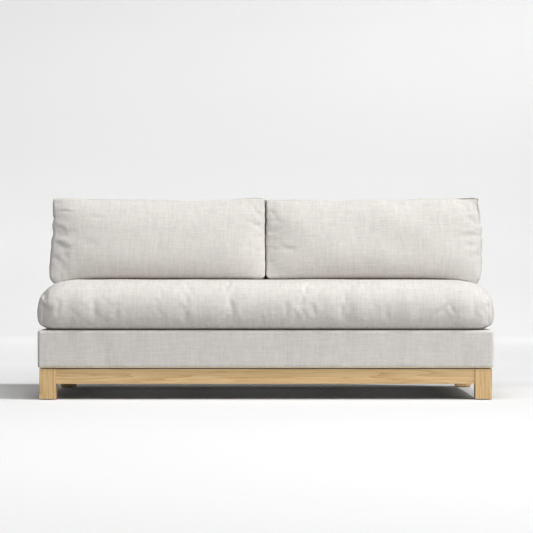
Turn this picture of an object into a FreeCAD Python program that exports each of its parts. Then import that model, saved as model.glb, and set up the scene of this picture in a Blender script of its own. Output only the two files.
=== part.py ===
# Armless sofa with a loose bench seat cushion and two loose back cushions on an
# exposed wooden base. Millimetres, +Z up, +X along the seat, -Y towards the sitter.
# The origin is on the floor, at the centre of the sofa's footprint.
import FreeCAD, Part
import Sketcher
import math
import os
import re

V = FreeCAD.Vector
Rot = FreeCAD.Rotation
Pl = FreeCAD.Placement

doc = FreeCAD.newDocument("sofa")

# ------------------------------------------------------------------ dimensions
DIMS = [
    ("body_w", 1870, "upholstered body, width"),
    ("body_d", 1016, "upholstered body, depth"),
    ("body_y0", -502, "front face of the body"),
    ("body_z0", 130, "underside of the body"),
    ("body_z1", 286, "top of the seat deck"),
    ("body_r", 14, "body cover, upright edge radius"),
    ("body_rt", 20, "body cover, top edge radius"),
    ("body_rr", 6, "body cover, rear top edge radius"),
    ("cover_t", 2, "upholstery fabric with backing"),
    ("pad_t", 10, "padding over the carcass"),
    ("board_t", 22, "carcass board thickness"),
    ("board_top", 262, "top of the carcass boards"),
    ("flange_w", 40, "cover turned under the carcass"),
    ("base_inset", 7, "base set in from the body"),
    ("leg_w", 68, "leg block side"),
    ("leg_top", 127, "top of legs and rails"),
    ("glide_t", 3, "glide thickness"),
    ("glide_r", 19, "glide radius"),
    ("nail_r", 2, "glide nail radius"),
    ("nail_len", 16, "glide nail length"),
    ("rail_hgt", 62, "base rail height"),
    ("rail_t", 28, "base rail thickness"),
    ("rail_set", 6, "rail set back from the leg face"),
    ("ten_t", 12, "tenon thickness"),
    ("ten_hgt", 42, "tenon height"),
    ("ten_len", 25, "tenon length"),
    ("ten_gap", 0.1, "glue gap round a tenon"),
    ("ten_sh", 10, "tenon lower shoulder"),
    ("ease", 1.5, "eased wooden edges"),
    ("strip_w", 18, "reveal strip width"),
    ("strip_set", 6, "reveal strip set back"),
    ("stretch_x", 300, "base stretcher position"),
    ("stretch_w", 45, "base stretcher width"),
    ("stretch_top", 131, "top of the base stretchers"),
    ("stretch_hgt", 40, "base stretcher height"),
    ("brace_in", 72, "corner brace, near end"),
    ("brace_out", 122, "corner brace, far end"),
    ("brace_z0", 90, "corner brace underside"),
    ("brace_t", 30, "corner brace thickness"),
    ("bolt_r", 4, "body bolt radius"),
    ("bolt_hole_r", 4.5, "bolt hole radius"),
    ("bolt_head_r", 7.5, "bolt head corner radius"),
    ("bolt_head_t", 5.5, "bolt head thickness"),
    ("bolt_len", 90, "body bolt length"),
    ("washer_r", 9, "washer radius"),
    ("washer_t", 1.6, "washer thickness"),
    ("insert_r", 6, "threaded insert radius"),
    ("insert_len", 25, "threaded insert length"),
    ("block_leg", 160, "carcass corner block side"),
    ("block_leg_b", 140, "rear corner block side"),
    ("block_t", 60, "carcass corner block thickness"),
    ("cross_hgt", 70, "cross brace height"),
    ("spring_rail_y", 384, "front of the spring rail"),
    ("wire_r", 1.9, "spring wire radius"),
    ("spring_z", 266, "spring wire height"),
    ("spring_bar", 30, "straight part of each spring run"),
    ("spring_runs", 31, "runs in each spring"),
    ("spring_n", 10, "springs"),
    ("spring_gap", 180, "spring spacing"),
    ("clip_w", 24, "spring clip width"),
    ("clip_d", 12, "spring clip depth"),
    ("clip_hgt", 8, "spring clip height"),
    ("tie_r", 1.6, "tie wire radius"),
    ("tie_len", 1740, "tie wire length"),
    ("felt_z0", 271.5, "underside of the insulator felt"),
    ("felt_t", 2.5, "insulator felt thickness"),
    ("deck_z0", 274.5, "underside of the deck foam"),
    ("deck_y1", 380, "rear edge of the deck foam"),
    ("post_w", 32, "back post width"),
    ("post_y0", 406, "front of a back post's foot"),
    ("post_top", 713, "top of the back posts"),
    ("lean", 0.1, "lean of the back, run over rise"),
    ("top_rail_t", 22, "back top rail thickness"),
    ("low_rail_z0", 300, "back lower rail underside"),
    ("low_rail_hgt", 60, "back lower rail height"),
    ("low_rail_t", 22, "back lower rail thickness"),
    ("web_w", 60, "webbing width"),
    ("web_t", 2, "webbing thickness"),
    ("back_pad", 20, "foam on the front of the back"),
    ("back_top", 760, "top of the upholstered back"),
    ("back_r", 22, "back cover, front top radius"),
    ("back_rr", 14, "back cover, rear top radius"),
    ("seat_w", 1884, "seat cushion width"),
    ("seat_y0", -514, "front of the seat cushion"),
    ("seat_y1", 378, "rear of the seat cushion"),
    ("seat_z0", 286.6, "underside of the seat cushion"),
    ("seat_z1", 489, "crown of the seat cushion"),
    ("seat_flat", 1400, "level part of the crown"),
    ("seat_drop", 22, "fall of the crown at each end"),
    ("seat_re", 58, "seat cushion end, upper radius"),
    ("seat_rb", 46, "seat cushion, lower radius"),
    ("seat_rf", 74, "seat cushion, front upper radius"),
    ("seat_rp", 52, "seat cushion, plan corner radius"),
    ("seat_rs", 22, "seat cushion, small radius"),
    ("core_in", 46, "foam core set in at the sides"),
    ("core_z0", 316, "foam core underside"),
    ("core_z1", 446, "foam core top"),
    ("back_gap", 1.5, "half the gap between back cushions"),
    ("backc_x1", 945, "outer side of a back cushion"),
    ("backc_y0", 165, "front of a back cushion at its foot"),
    ("backc_y1", 246, "front of a back cushion at its top"),
    ("backc_z1", 846, "top of the back cushions"),
    ("backc_clear", 1.0, "gap to the upholstered back"),
    ("backc_r", 30, "back cushion, profile radius"),
    ("backc_rc", 24, "back cushion, face corner radius"),
    ("backc_zip", 36, "zip bevel on a back cushion"),
    ("rest_gap", 0.6, "gap between resting cushions"),
    ("zip_z", 387, "seat cushion zip height"),
    ("zip_len", 1600, "seat cushion zip length"),
    ("zipb_len", 820, "back cushion zip length"),
    ("tape_w", 28, "zip tape width"),
    ("tape_t", 0.8, "zip tape thickness"),
    ("teeth_w", 6, "zip teeth width"),
    ("teeth_t", 1.8, "zip teeth thickness"),
    ("slider_len", 12, "zip slider length"),
    ("slider_w", 10, "zip slider width"),
    ("tab_len", 30, "zip pull tab length"),
]
sheet = doc.addObject("Spreadsheet::Sheet", "dims")
VALUE = {}
for row, (alias, number, note) in enumerate(DIMS, start=1):
    sheet.set("A%d" % row, note)
    sheet.set("B%d" % row, str(number))
    sheet.setAlias("B%d" % row, alias)
    VALUE[alias] = float(number)
doc.recompute()

# Short names for places that several pieces share, written in the sheet's terms.
PLACES = {
    "HX": "(body_w/2)",
    "BY1": "(body_y0+body_d)",
    "LX0": "(body_w/2-base_inset-leg_w)",
    "LYF": "(body_y0+base_inset)",
    "LYR": "(body_y0+body_d-base_inset-leg_w)",
    "RFY": "(body_y0+base_inset+rail_set)",
    "RRY": "(body_y0+body_d-base_inset-rail_set-rail_t)",
    "RSX": "(body_w/2-base_inset-rail_set-rail_t)",
    "RZ0": "(leg_top-rail_hgt)",
    "CX": "(body_w/2-cover_t-pad_t)",
    "CYF": "(body_y0+cover_t+pad_t)",
    "CYR": "(body_y0+body_d-cover_t-pad_t)",
    "CZ0": "(body_z0+cover_t)",
    "BOLTX": "(body_w/2-base_inset-rail_set-rail_t-(brace_in+brace_out)/4)",
    "BOLTYF": "(body_y0+base_inset+rail_set+rail_t+(brace_in+brace_out)/4)",
    "BOLTYR": "(body_y0+body_d-base_inset-rail_set-rail_t-(brace_in+brace_out)/4)",
    "BACKF": "((2*web_t+back_pad+cover_t+0.2)*1.005)",
}
WORD = re.compile(r"[A-Za-z_][A-Za-z_0-9]*")


def spell(text):
    """The text with the shared places written out."""
    text = str(text)
    for _ in range(3):
        text = WORD.sub(lambda m: PLACES.get(m.group(0), m.group(0)), text)
    return text


def ex(text):
    """An expression that the document can hold, with each alias read from the sheet."""
    return WORD.sub(
        lambda m: "dims." + m.group(0) if m.group(0) in VALUE else m.group(0),
        spell(text),
    )


def num(text):
    """The number that a simple sum of aliases comes to."""
    words = spell(text)
    tokens = re.findall(r"[A-Za-z_][A-Za-z_0-9]*|[0-9.]+|[-+*/()]", words)

    def expr(i):
        a, i = term(i)
        while i < len(tokens) and tokens[i] in "+-":
            b, j = term(i + 1)
            a = a + b if tokens[i] == "+" else a - b
            i = j
        return a, i

    def term(i):
        a, i = factor(i)
        while i < len(tokens) and tokens[i] in "*/":
            b, j = factor(i + 1)
            a = a * b if tokens[i] == "*" else a / b
            i = j
        return a, i

    def factor(i):
        t = tokens[i]
        if t == "-":
            a, j = factor(i + 1)
            return -a, j
        if t == "(":
            a, j = expr(i + 1)
            return a, j + 1
        return (VALUE[t] if t in VALUE else float(t)), i + 1

    return expr(0)[0]


# ------------------------------------------------------------------- helpers
NODES = []


def node(obj, name):
    """obj is the sub-part called name."""
    obj.Label = name
    NODES.append((name, obj))
    return obj


def bind(obj, prop, text):
    obj.setExpression(prop, ex(text))


def place(obj, pos, rot=None):
    """Puts obj at pos, three sums of aliases, turned by rot."""
    if rot is not None:
        obj.Placement = Pl(V(0, 0, 0), rot)
    for axis, text in zip("xyz", pos):
        if str(text) not in ("0", "0.0"):
            bind(obj, "Placement.Base." + axis, text)
    return obj


def body(name):
    return doc.addObject("PartDesign::Body", name)


def sketch(b, role, name):
    sk = b.newObject("Sketcher::SketchObject", name)
    plane = [f for f in b.Origin.OriginFeatures if f.Role == role][0]
    sk.AttachmentSupport = [(plane, "")]
    sk.MapMode = "FlatFace"
    return sk


def rectangle(b, role, wid, hei, name, u0="0", v0="0"):
    """A rectangle of the given size, its lower left corner u0, v0 from the sketch's origin."""
    sk = sketch(b, role, name)
    u, v, w, g = num(u0), num(v0), num(wid), num(hei)
    p = [V(u, v, 0), V(u + w, v, 0), V(u + w, v + g, 0), V(u, v + g, 0)]
    sk.addGeometry([Part.LineSegment(p[i], p[(i + 1) % 4]) for i in range(4)], False)
    C = Sketcher.Constraint
    for i in range(4):
        sk.addConstraint(C("Coincident", i, 2, (i + 1) % 4, 1))
    sk.addConstraint(C("Horizontal", 0))
    sk.addConstraint(C("Vertical", 1))
    sk.addConstraint(C("Horizontal", 2))
    sk.addConstraint(C("Vertical", 3))
    if u0 == "0" and v0 == "0":
        sk.addConstraint(C("Coincident", 0, 1, -1, 1))
    else:
        for kind, value, label, text in (
            ("DistanceX", u, "off_u", u0),
            ("DistanceY", v, "off_v", v0),
        ):
            i = sk.addConstraint(C(kind, -1, 1, 0, 1, value))
            sk.renameConstraint(i, label)
            bind(sk, "Constraints." + label, text)
    i = sk.addConstraint(C("DistanceX", 0, 1, 0, 2, w))
    sk.renameConstraint(i, "wid")
    bind(sk, "Constraints.wid", wid)
    i = sk.addConstraint(C("DistanceY", 1, 1, 1, 2, g))
    sk.renameConstraint(i, "hei")
    bind(sk, "Constraints.hei", hei)
    return sk


def polygon(b, role, points, name):
    """A closed outline through points, each a pair of sums of aliases from the sketch's origin."""
    sk = sketch(b, role, name)
    p = [V(num(a), num(c), 0) for a, c in points]
    n = len(p)
    sk.addGeometry([Part.LineSegment(p[i], p[(i + 1) % n]) for i in range(n)], False)
    C = Sketcher.Constraint
    for i in range(n):
        sk.addConstraint(C("Coincident", i, 2, (i + 1) % n, 1))
    for i, (a, c) in enumerate(points):
        for kind, value, label, text in (
            ("DistanceX", p[i].x, "u%d" % i, a),
            ("DistanceY", p[i].y, "v%d" % i, c),
        ):
            if abs(value) < 1e-9:
                sk.addConstraint(
                    C("PointOnObject", i, 1, -2 if kind == "DistanceX" else -1)
                )
                continue
            k = sk.addConstraint(C(kind, -1, 1, i, 1, value))
            sk.renameConstraint(k, label)
            bind(sk, "Constraints." + label, text)
    return sk


def pad(b, sk, length, name, back=False):
    f = b.newObject("PartDesign::Pad", name)
    f.Profile = sk
    bind(f, "Length", length)
    f.Reversed = back
    sk.Visibility = False
    doc.recompute()
    return f


def pocket(b, sk, length, name, back=False):
    f = b.newObject("PartDesign::Pocket", name)
    f.Profile = sk
    bind(f, "Length", length)
    f.Reversed = back
    doc.recompute()
    return f


def edges_where(feature, test):
    return [
        "Edge%d" % (i + 1) for i, e in enumerate(feature.Shape.Edges) if test(e)
    ]


def along(axis):
    """A test for straight edges along an axis."""

    def test(e):
        if len(e.Vertexes) != 2:
            return False
        d = e.Vertexes[1].Point - e.Vertexes[0].Point
        return d.Length > 1e-6 and abs(abs(d[axis]) - d.Length) < 1e-6

    return test


def at(axis, *where):
    """A test for an edge whose middle has the given two coordinates across an axis."""
    others = [i for i in range(3) if i != axis]

    def test(e):
        if not along(axis)(e):
            return False
        m = (e.Vertexes[0].Point + e.Vertexes[1].Point) * 0.5
        return all(abs(m[o] - w) < 1e-3 for o, w in zip(others, where))

    return test


def soften(b, feature, test, radius, name, kind="Fillet"):
    """Rounds or chamfers the chosen edges of a body."""
    found = edges_where(feature, test)
    if not found:
        raise RuntimeError("no edge for " + name)
    f = b.newObject("PartDesign::" + kind, name)
    f.Base = (feature, found)
    bind(f, "Radius" if kind == "Fillet" else "Size", radius)
    doc.recompute()
    return f


def block_cut(b, size, pos, name, add=False):
    """A box taken from a body, or added to it."""
    f = b.newObject(
        "PartDesign::AdditiveBox" if add else "PartDesign::SubtractiveBox", name
    )
    for prop, text in zip(("Length", "Width", "Height"), size):
        bind(f, prop, text)
    for axis, text in zip("xyz", pos):
        bind(f, "Placement.Base." + axis, text)
    doc.recompute()
    return f


def round_cut(b, radius, depth, pos, name, rot=None):
    f = b.newObject("PartDesign::SubtractiveCylinder", name)
    bind(f, "Radius", radius)
    bind(f, "Height", depth)
    if rot is not None:
        f.Placement = Pl(V(0, 0, 0), rot)
    for axis, text in zip("xyz", pos):
        bind(f, "Placement.Base." + axis, text)
    doc.recompute()
    return f


def box(name, size, pos, rot=None):
    f = doc.addObject("Part::Box", name)
    for prop, text in zip(("Length", "Width", "Height"), size):
        bind(f, prop, text)
    return place(f, pos, rot)


def cyl(name, radius, height, pos, rot=None):
    f = doc.addObject("Part::Cylinder", name)
    bind(f, "Radius", radius)
    bind(f, "Height", height)
    return place(f, pos, rot)


def cut(name, base, tool):
    f = doc.addObject("Part::Cut", name)
    f.Base = base
    f.Tool = tool
    doc.recompute()
    return f


def fuse(name, shapes):
    f = doc.addObject("Part::MultiFuse", name)
    f.Shapes = shapes
    doc.recompute()
    return f


def common(name, shapes):
    f = doc.addObject("Part::MultiCommon", name)
    f.Shapes = shapes
    doc.recompute()
    return f


def group(name, shapes):
    f = doc.addObject("Part::Compound", name)
    f.Links = shapes
    doc.recompute()
    return f


def mirrored(name, source, normal):
    f = doc.addObject("Part::Mirroring", name)
    f.Source = source
    f.Base = V(0, 0, 0)
    f.Normal = normal
    doc.recompute()
    return f


ALONG_Y = Rot(V(1, 0, 0), -90)
ALONG_X = Rot(V(0, 1, 0), 90)
BACK_Y = Rot(V(1, 0, 0), 90)


def board(name, size, pos, eased=None):
    """A plain board as a body, with its long edges eased if asked."""
    b = body(name)
    f = pad(b, rectangle(b, "XY_Plane", size[0], size[1], name + "_outline"), size[2], name + "_pad")
    if eased is not None:
        f = soften(b, f, along(eased), "ease", name + "_eased")
    place(b, pos)
    return node(b, name)


# ------------------------------------------------------------- wooden base
def leg(name, sx, sy):
    """A square leg block with two mortises and a hole for the glide's nail."""
    b = body(name)
    f = pad(b, rectangle(b, "XY_Plane", "leg_w", "leg_w", name + "_section"), "leg_top-glide_t", name + "_pad")
    f = soften(b, f, along(2), "ease", name + "_corners")
    low = lambda e: all(abs(v.Point.z) < 1e-6 for v in e.Vertexes)
    f = soften(b, f, low, "ease", name + "_foot", "Chamfer")
    zlow = "RZ0+ten_sh-glide_t-ten_gap"
    hgt = "ten_hgt+2*ten_gap"
    deep = "ten_len+1"
    wide = "ten_t+2*ten_gap"
    x = "0" if sx > 0 else "leg_w-ten_len-1"
    y = "rail_set+rail_t/2-ten_t/2-ten_gap" if sy < 0 else "leg_w-rail_set-rail_t/2-ten_t/2-ten_gap"
    block_cut(b, (deep, wide, hgt), (x, y, zlow), name + "_mortise_long")
    y = "0" if sy > 0 else "leg_w-ten_len-1"
    x = "leg_w-rail_set-rail_t/2-ten_t/2-ten_gap" if sx > 0 else "rail_set+rail_t/2-ten_t/2-ten_gap"
    block_cut(b, (wide, deep, hgt), (x, y, zlow), name + "_mortise_side")
    round_cut(b, "nail_r", "nail_len", ("leg_w/2", "leg_w/2", "0"), name + "_nail_hole")
    place(b, ("LX0" if sx > 0 else "-LX0-leg_w", "LYF" if sy < 0 else "LYR", "glide_t"))
    return node(b, name)


leg("leg_front_left", -1, -1)
leg("leg_front_right", 1, -1)
leg("leg_rear_left", -1, 1)
leg("leg_rear_right", 1, 1)


def rail(name, axis, pos, length):
    """A base rail with a tenon at each end. axis 0 runs along X, axis 1 along Y."""
    b = body(name)
    size = (length, "rail_t") if axis == 0 else ("rail_t", length)
    f = pad(b, rectangle(b, "XY_Plane", size[0], size[1], name + "_outline"), "rail_hgt", name + "_pad")
    f = soften(b, f, along(axis), "ease", name + "_eased")
    mid = "rail_t/2-ten_t/2"
    if axis == 0:
        block_cut(b, ("ten_len+2", "ten_t", "ten_hgt"), ("-ten_len", mid, "ten_sh"), name + "_tenon_a", True)
        block_cut(b, ("ten_len+2", "ten_t", "ten_hgt"), (length + "-2", mid, "ten_sh"), name + "_tenon_b", True)
    else:
        block_cut(b, ("ten_t", "ten_len+2", "ten_hgt"), (mid, "-ten_len", "ten_sh"), name + "_tenon_a", True)
        block_cut(b, ("ten_t", "ten_len+2", "ten_hgt"), (mid, length + "-2", "ten_sh"), name + "_tenon_b", True)
    place(b, pos)
    return node(b, name)


rail("rail_front", 0, ("-LX0", "RFY", "RZ0"), "2*LX0")
rail("rail_rear", 0, ("-LX0", "RRY", "RZ0"), "2*LX0")
rail("rail_left", 1, ("-RSX-rail_t", "LYF+leg_w", "RZ0"), "LYR-LYF-leg_w")
rail("rail_right", 1, ("RSX", "LYF+leg_w", "RZ0"), "LYR-LYF-leg_w")

for side, x in (("left", "-stretch_x-stretch_w/2"), ("right", "stretch_x-stretch_w/2")):
    board(
        "base_stretcher_" + side,
        ("stretch_w", "RRY-RFY-rail_t", "stretch_hgt"),
        (x, "RFY+rail_t", "stretch_top-stretch_hgt"),
        eased=1,
    )


def brace(name, corner, sx, sy):
    """A mitred corner brace with a bolt hole, inside a corner of the base."""
    b = body(name)
    p = [
        ("%d*(brace_out)" % -sx, "0"),
        ("%d*(brace_in)" % -sx, "0"),
        ("0", "%d*(brace_in)" % -sy),
        ("0", "%d*(brace_out)" % -sy),
    ]
    pad(b, polygon(b, "XY_Plane", p, name + "_outline"), "brace_t", name + "_pad")
    c = "(brace_in+brace_out)/4"
    round_cut(b, "bolt_hole_r", "brace_t+2", ("%d*" % -sx + c, "%d*" % -sy + c, "-1"), name + "_hole")
    place(b, corner)
    return b


node(
    group(
        "base_corner_braces",
        [
            brace("brace_fl", ("-RSX", "RFY+rail_t", "brace_z0"), -1, -1),
            brace("brace_fr", ("RSX", "RFY+rail_t", "brace_z0"), 1, -1),
            brace("brace_rl", ("-RSX", "RRY", "brace_z0"), -1, 1),
            brace("brace_rr", ("RSX", "RRY", "brace_z0"), 1, 1),
        ],
    ),
    "base_corner_braces",
)

node(
    group(
        "reveal_strips",
        [
            box("strip_f", ("2*LX0-20", "strip_w", "body_z0-leg_top"), ("-LX0+10", "RFY+strip_set", "leg_top")),
            box("strip_b", ("2*LX0-20", "strip_w", "body_z0-leg_top"), ("-LX0+10", "RRY+rail_t-strip_set-strip_w", "leg_top")),
            box("strip_l", ("strip_w", "LYR-LYF-leg_w-20", "body_z0-leg_top"), ("-RSX-rail_t+strip_set", "LYF+leg_w+10", "leg_top")),
            box("strip_r", ("strip_w", "LYR-LYF-leg_w-20", "body_z0-leg_top"), ("RSX+rail_t-strip_set-strip_w", "LYF+leg_w+10", "leg_top")),
        ],
    ),
    "reveal_strips",
)


def glide(name, x, y):
    disc = cyl(name + "_disc", "glide_r", "glide_t", (x, y, "0"))
    nail = cyl(name + "_nail", "nail_r", "nail_len", (x, y, "1"))
    return fuse(name, [disc, nail])


GX, GYF, GYR = "LX0+leg_w/2", "LYF+leg_w/2", "LYR+leg_w/2"
node(
    group(
        "leg_glides",
        [
            glide("glide_fl", "-(" + GX + ")", GYF),
            glide("glide_fr", GX, GYF),
            glide("glide_rl", "-(" + GX + ")", GYR),
            glide("glide_rr", GX, GYR),
        ],
    ),
    "leg_glides",
)

# -------------------------------------------- bolts between base and carcass
BOLTS = [("-BOLTX", "BOLTYF"), ("BOLTX", "BOLTYF"), ("-BOLTX", "BOLTYR"), ("BOLTX", "BOLTYR")]


def hexagon(name, radius, thick, pos, rot=None):
    f = doc.addObject("Part::Prism", name)
    f.Polygon = 6
    bind(f, "Circumradius", radius)
    bind(f, "Height", thick)
    return place(f, pos, rot)


bolts, washers, inserts = [], [], []
for i, (x, y) in enumerate(BOLTS):
    head = hexagon("bolt_head_%d" % i, "bolt_head_r", "bolt_head_t", (x, y, "brace_z0-washer_t-bolt_head_t"))
    shank = cyl("bolt_shank_%d" % i, "bolt_r", "bolt_len+1", (x, y, "brace_z0-washer_t-1"))
    bolts.append(fuse("body_bolt_%d" % i, [head, shank]))
    washers.append(
        cut(
            "bolt_washer_%d" % i,
            cyl("washer_disc_%d" % i, "washer_r", "washer_t", (x, y, "brace_z0-washer_t")),
            cyl("washer_bore_%d" % i, "bolt_r+0.2", "washer_t+2", (x, y, "brace_z0-washer_t-1")),
        )
    )
    inserts.append(
        cut(
            "bolt_insert_%d" % i,
            cyl("insert_barrel_%d" % i, "insert_r", "insert_len", (x, y, "CZ0")),
            cyl("insert_bore_%d" % i, "bolt_r+0.05", "insert_len+2", (x, y, "CZ0-1")),
        )
    )
node(group("body_bolts", bolts), "body_bolts")
node(group("body_bolt_washers", washers), "body_bolt_washers")
node(group("body_bolt_inserts", inserts), "body_bolt_inserts")

# --------------------------------------------------------- seat carcass
board("carcass_front_board", ("2*CX", "board_t", "board_top-CZ0"), ("-CX", "CYF", "CZ0"))

b = body("carcass_rear_board")
pad(b, rectangle(b, "XY_Plane", "2*CX", "board_t", "rear_board_outline"), "board_top-CZ0", "rear_board_pad")
POST_X = ["-(CX-board_t-post_w/2)", "-(stretch_x+board_t/2+post_w/2)", "stretch_x+board_t/2+post_w/2", "CX-board_t-post_w/2"]
POST_Z = ["150", "190"]
for i, x in enumerate(POST_X):
    for j, z in enumerate(POST_Z):
        round_cut(b, "bolt_hole_r", "board_t+2", ("CX+" + x, "-1", z + "-CZ0"), "rear_board_hole_%d%d" % (i, j), ALONG_Y)
        round_cut(b, "washer_r+1", "6", ("CX+" + x, "board_t-5", z + "-CZ0"), "rear_board_sink_%d%d" % (i, j), ALONG_Y)
place(b, ("-CX", "CYR-board_t", "CZ0"))
node(b, "carcass_rear_board")

for side, x in (("left", "-CX"), ("right", "CX-board_t")):
    board(
        "carcass_%s_board" % side,
        ("board_t", "CYR-CYF-2*board_t", "board_top-CZ0"),
        (x, "CYF+board_t", "CZ0"),
    )

node(
    group(
        "carcass_cross_braces",
        [
            box("cross_" + n, ("board_t", "CYR-CYF-2*board_t", "cross_hgt"), (x + "-board_t/2", "CYF+board_t", "CZ0"))
            for n, x in (("a", "-stretch_x"), ("b", "0"), ("c", "stretch_x"))
        ],
    ),
    "carcass_cross_braces",
)
board("spring_rail", ("2*(CX-board_t)", "board_t", "board_top-CZ0-cross_hgt"), ("-(CX-board_t)", "spring_rail_y", "CZ0+cross_hgt"))


def corner_block(name, corner, sx, sy, leg_len, hole):
    """A three-sided glue block with a bore for the threaded insert, and the bolt's end above it."""
    b = body(name)
    p = [("0", "0"), ("%d*(%s)" % (-sx, leg_len), "0"), ("0", "%d*(%s)" % (-sy, leg_len))]
    pad(b, polygon(b, "XY_Plane", p, name + "_outline"), "block_t", name + "_pad")
    round_cut(b, "insert_r", "insert_len+1", (hole[0], hole[1], "-1"), name + "_bore")
    round_cut(b, "bolt_hole_r", "block_t+2", (hole[0], hole[1], "-1"), name + "_tip")
    place(b, corner)
    return b


IX, IYF, IYR = "(CX-board_t)", "(CYF+board_t)", "(CYR-board_t)"
RX = "(CX-board_t-post_w)"
node(
    group(
        "carcass_corner_blocks",
        [
            corner_block("corner_fl", ("-" + IX, IYF, "CZ0"), -1, -1, "block_leg", (IX + "-BOLTX", "BOLTYF-" + IYF)),
            corner_block("corner_fr", (IX, IYF, "CZ0"), 1, -1, "block_leg", ("BOLTX-" + IX, "BOLTYF-" + IYF)),
            corner_block("corner_rl", ("-" + RX, IYR, "CZ0"), -1, 1, "block_leg_b", (RX + "-BOLTX", "BOLTYR-" + IYR)),
            corner_block("corner_rr", (RX, IYR, "CZ0"), 1, 1, "block_leg_b", ("BOLTX-" + RX, "BOLTYR-" + IYR)),
        ],
    ),
    "carcass_corner_blocks",
)

# ------------------------------------------------- sinuous springs and clips
def spring_wire():
    """The zigzag line of one spring, about x = 0, level, from its front bar to its rear bar."""
    y0 = num("CYF+board_t/2")
    y1 = num("spring_rail_y+board_t/2")
    runs = int(VALUE["spring_runs"])
    pitch = (y1 - y0) / (runs - 1)
    hx, z = VALUE["spring_bar"] / 2, VALUE["spring_z"]
    edges, s = [], 1
    for i in range(runs):
        y = y0 + i * pitch
        edges.append(Part.LineSegment(V(-s * hx, y, z), V(s * hx, y, z)).toShape())
        if i < runs - 1:
            a, c = V(s * hx, y, z), V(s * hx, y + pitch, z)
            m = V(s * (hx + pitch / 2), y + pitch / 2, z)
            edges.append(Part.Arc(a, m, c).toShape())
        s = -s
    return Part.Wire(edges), y0, y1, hx


wire, SY0, SY1, SHX = spring_wire()
# an eight-sided section about the wire's line keeps the many bends light
corners = [
    V(
        -SHX,
        SY0 + VALUE["wire_r"] * math.cos(math.radians(22.5 + 45 * k)),
        VALUE["spring_z"] + VALUE["wire_r"] * math.sin(math.radians(22.5 + 45 * k)),
    )
    for k in range(8)
]
section = Part.Wire(Part.makePolygon(corners + corners[:1]).Edges)
one = wire.makePipeShell([section], True, False)
if one.Volume < 0:
    one.reverse()
springs = doc.addObject("Part::Feature", "seat_springs")
xs = [(i - (VALUE["spring_n"] - 1) / 2) * VALUE["spring_gap"] for i in range(int(VALUE["spring_n"]))]
copies = []
for x in xs:
    c = one.copy()
    c.translate(V(x, 0, 0))
    copies.append(c)
springs.Shape = Part.makeCompound(copies)
node(springs, "seat_springs")

clips = []
for i, x in enumerate(xs):
    for j, y in enumerate(("CYF+board_t/2", "spring_rail_y+board_t/2")):
        t = "%d_%d" % (i, j)
        px = "(%d-(spring_n-1)/2)*spring_gap" % i
        clips.append(
            cut(
                "clip_" + t,
                box("clip_block_" + t, ("clip_w", "clip_d", "clip_hgt"), (px + "-clip_w/2", y + "-clip_d/2", "board_top")),
                cyl("clip_bore_" + t, "wire_r+0.1", "clip_w+2", (px + "-clip_w/2-1", y, "spring_z"), ALONG_X),
            )
        )
node(group("spring_clips", clips), "spring_clips")
node(
    group(
        "spring_tie_wires",
        [
            cyl("tie_a", "tie_r", "tie_len", ("-tie_len/2", "-200", "spring_z+wire_r+tie_r+0.1"), ALONG_X),
            cyl("tie_b", "tie_r", "tie_len", ("-tie_len/2", "100", "spring_z+wire_r+tie_r+0.1"), ALONG_X),
        ],
    ),
    "spring_tie_wires",
)
board("spring_insulator", ("2*CX-16", "deck_y1-CYF-5", "felt_t"), ("-CX+8", "CYF+5", "felt_z0"))


# ------------------------------------------ soft outer shapes of the body
def three_way(name, inset, x, y, z, rx, ry, rxy, zopen=None):
    """A rounded block: what three rounded outlines, padded along Y, X and Z, have in common.
    x, y and z are pairs of limits; rx, ry and rxy give each outline's corner radii."""
    sx, sy, sz = ("%s-(%s)-2*(%s)" % (p[1], p[0], inset) for p in (x, y, z))
    sz = "%s-(%s)-(%s)" % (z[1], z[0], inset) if zopen else sz
    z0 = z[0] if zopen else "%s+(%s)" % (z[0], inset)
    lo = ("%s+(%s)" % (x[0], inset), "%s+(%s)" % (y[0], inset), z0)
    made = []
    for role, wid, hei, deep, axis, radii, tag in (
        ("XZ_Plane", sx, sz, sy, 1, rx, "face"),
        ("YZ_Plane", sy, sz, sx, 0, ry, "side"),
        ("XY_Plane", sx, sy, sz, 2, rxy, "plan"),
    ):
        b = body(name + "_" + tag)
        f = pad(b, rectangle(b, role, wid, hei, b.Name + "_outline"), deep, b.Name + "_pad", back=(axis == 1))
        w, g = num(wid), num(hei)
        corners = {"ll": (0, 0), "lr": (w, 0), "ul": (0, g), "ur": (w, g)}
        for key, radius in radii.items():
            r = "%s-(%s)" % (radius, inset)
            if num(r) > 0.2:
                f = soften(b, f, at(axis, *corners[key]), r, "%s_%s" % (b.Name, key))
        place(b, lo)
        made.append(b)
    return common(name, made)


BODY_X, BODY_Y = ("-HX", "HX"), ("body_y0", "BY1")


def body_block(name, inset, zopen=None):
    return three_way(
        name, inset, BODY_X, BODY_Y, ("body_z0", "body_z1"),
        {"ul": "body_rt", "ur": "body_rt", "ll": "4", "lr": "4"},
        {"ul": "body_rt", "ur": "body_rr", "ll": "4", "lr": "4"},
        {"ll": "body_r", "lr": "body_r", "ul": "body_r", "ur": "body_r"},
        zopen,
    )


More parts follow.
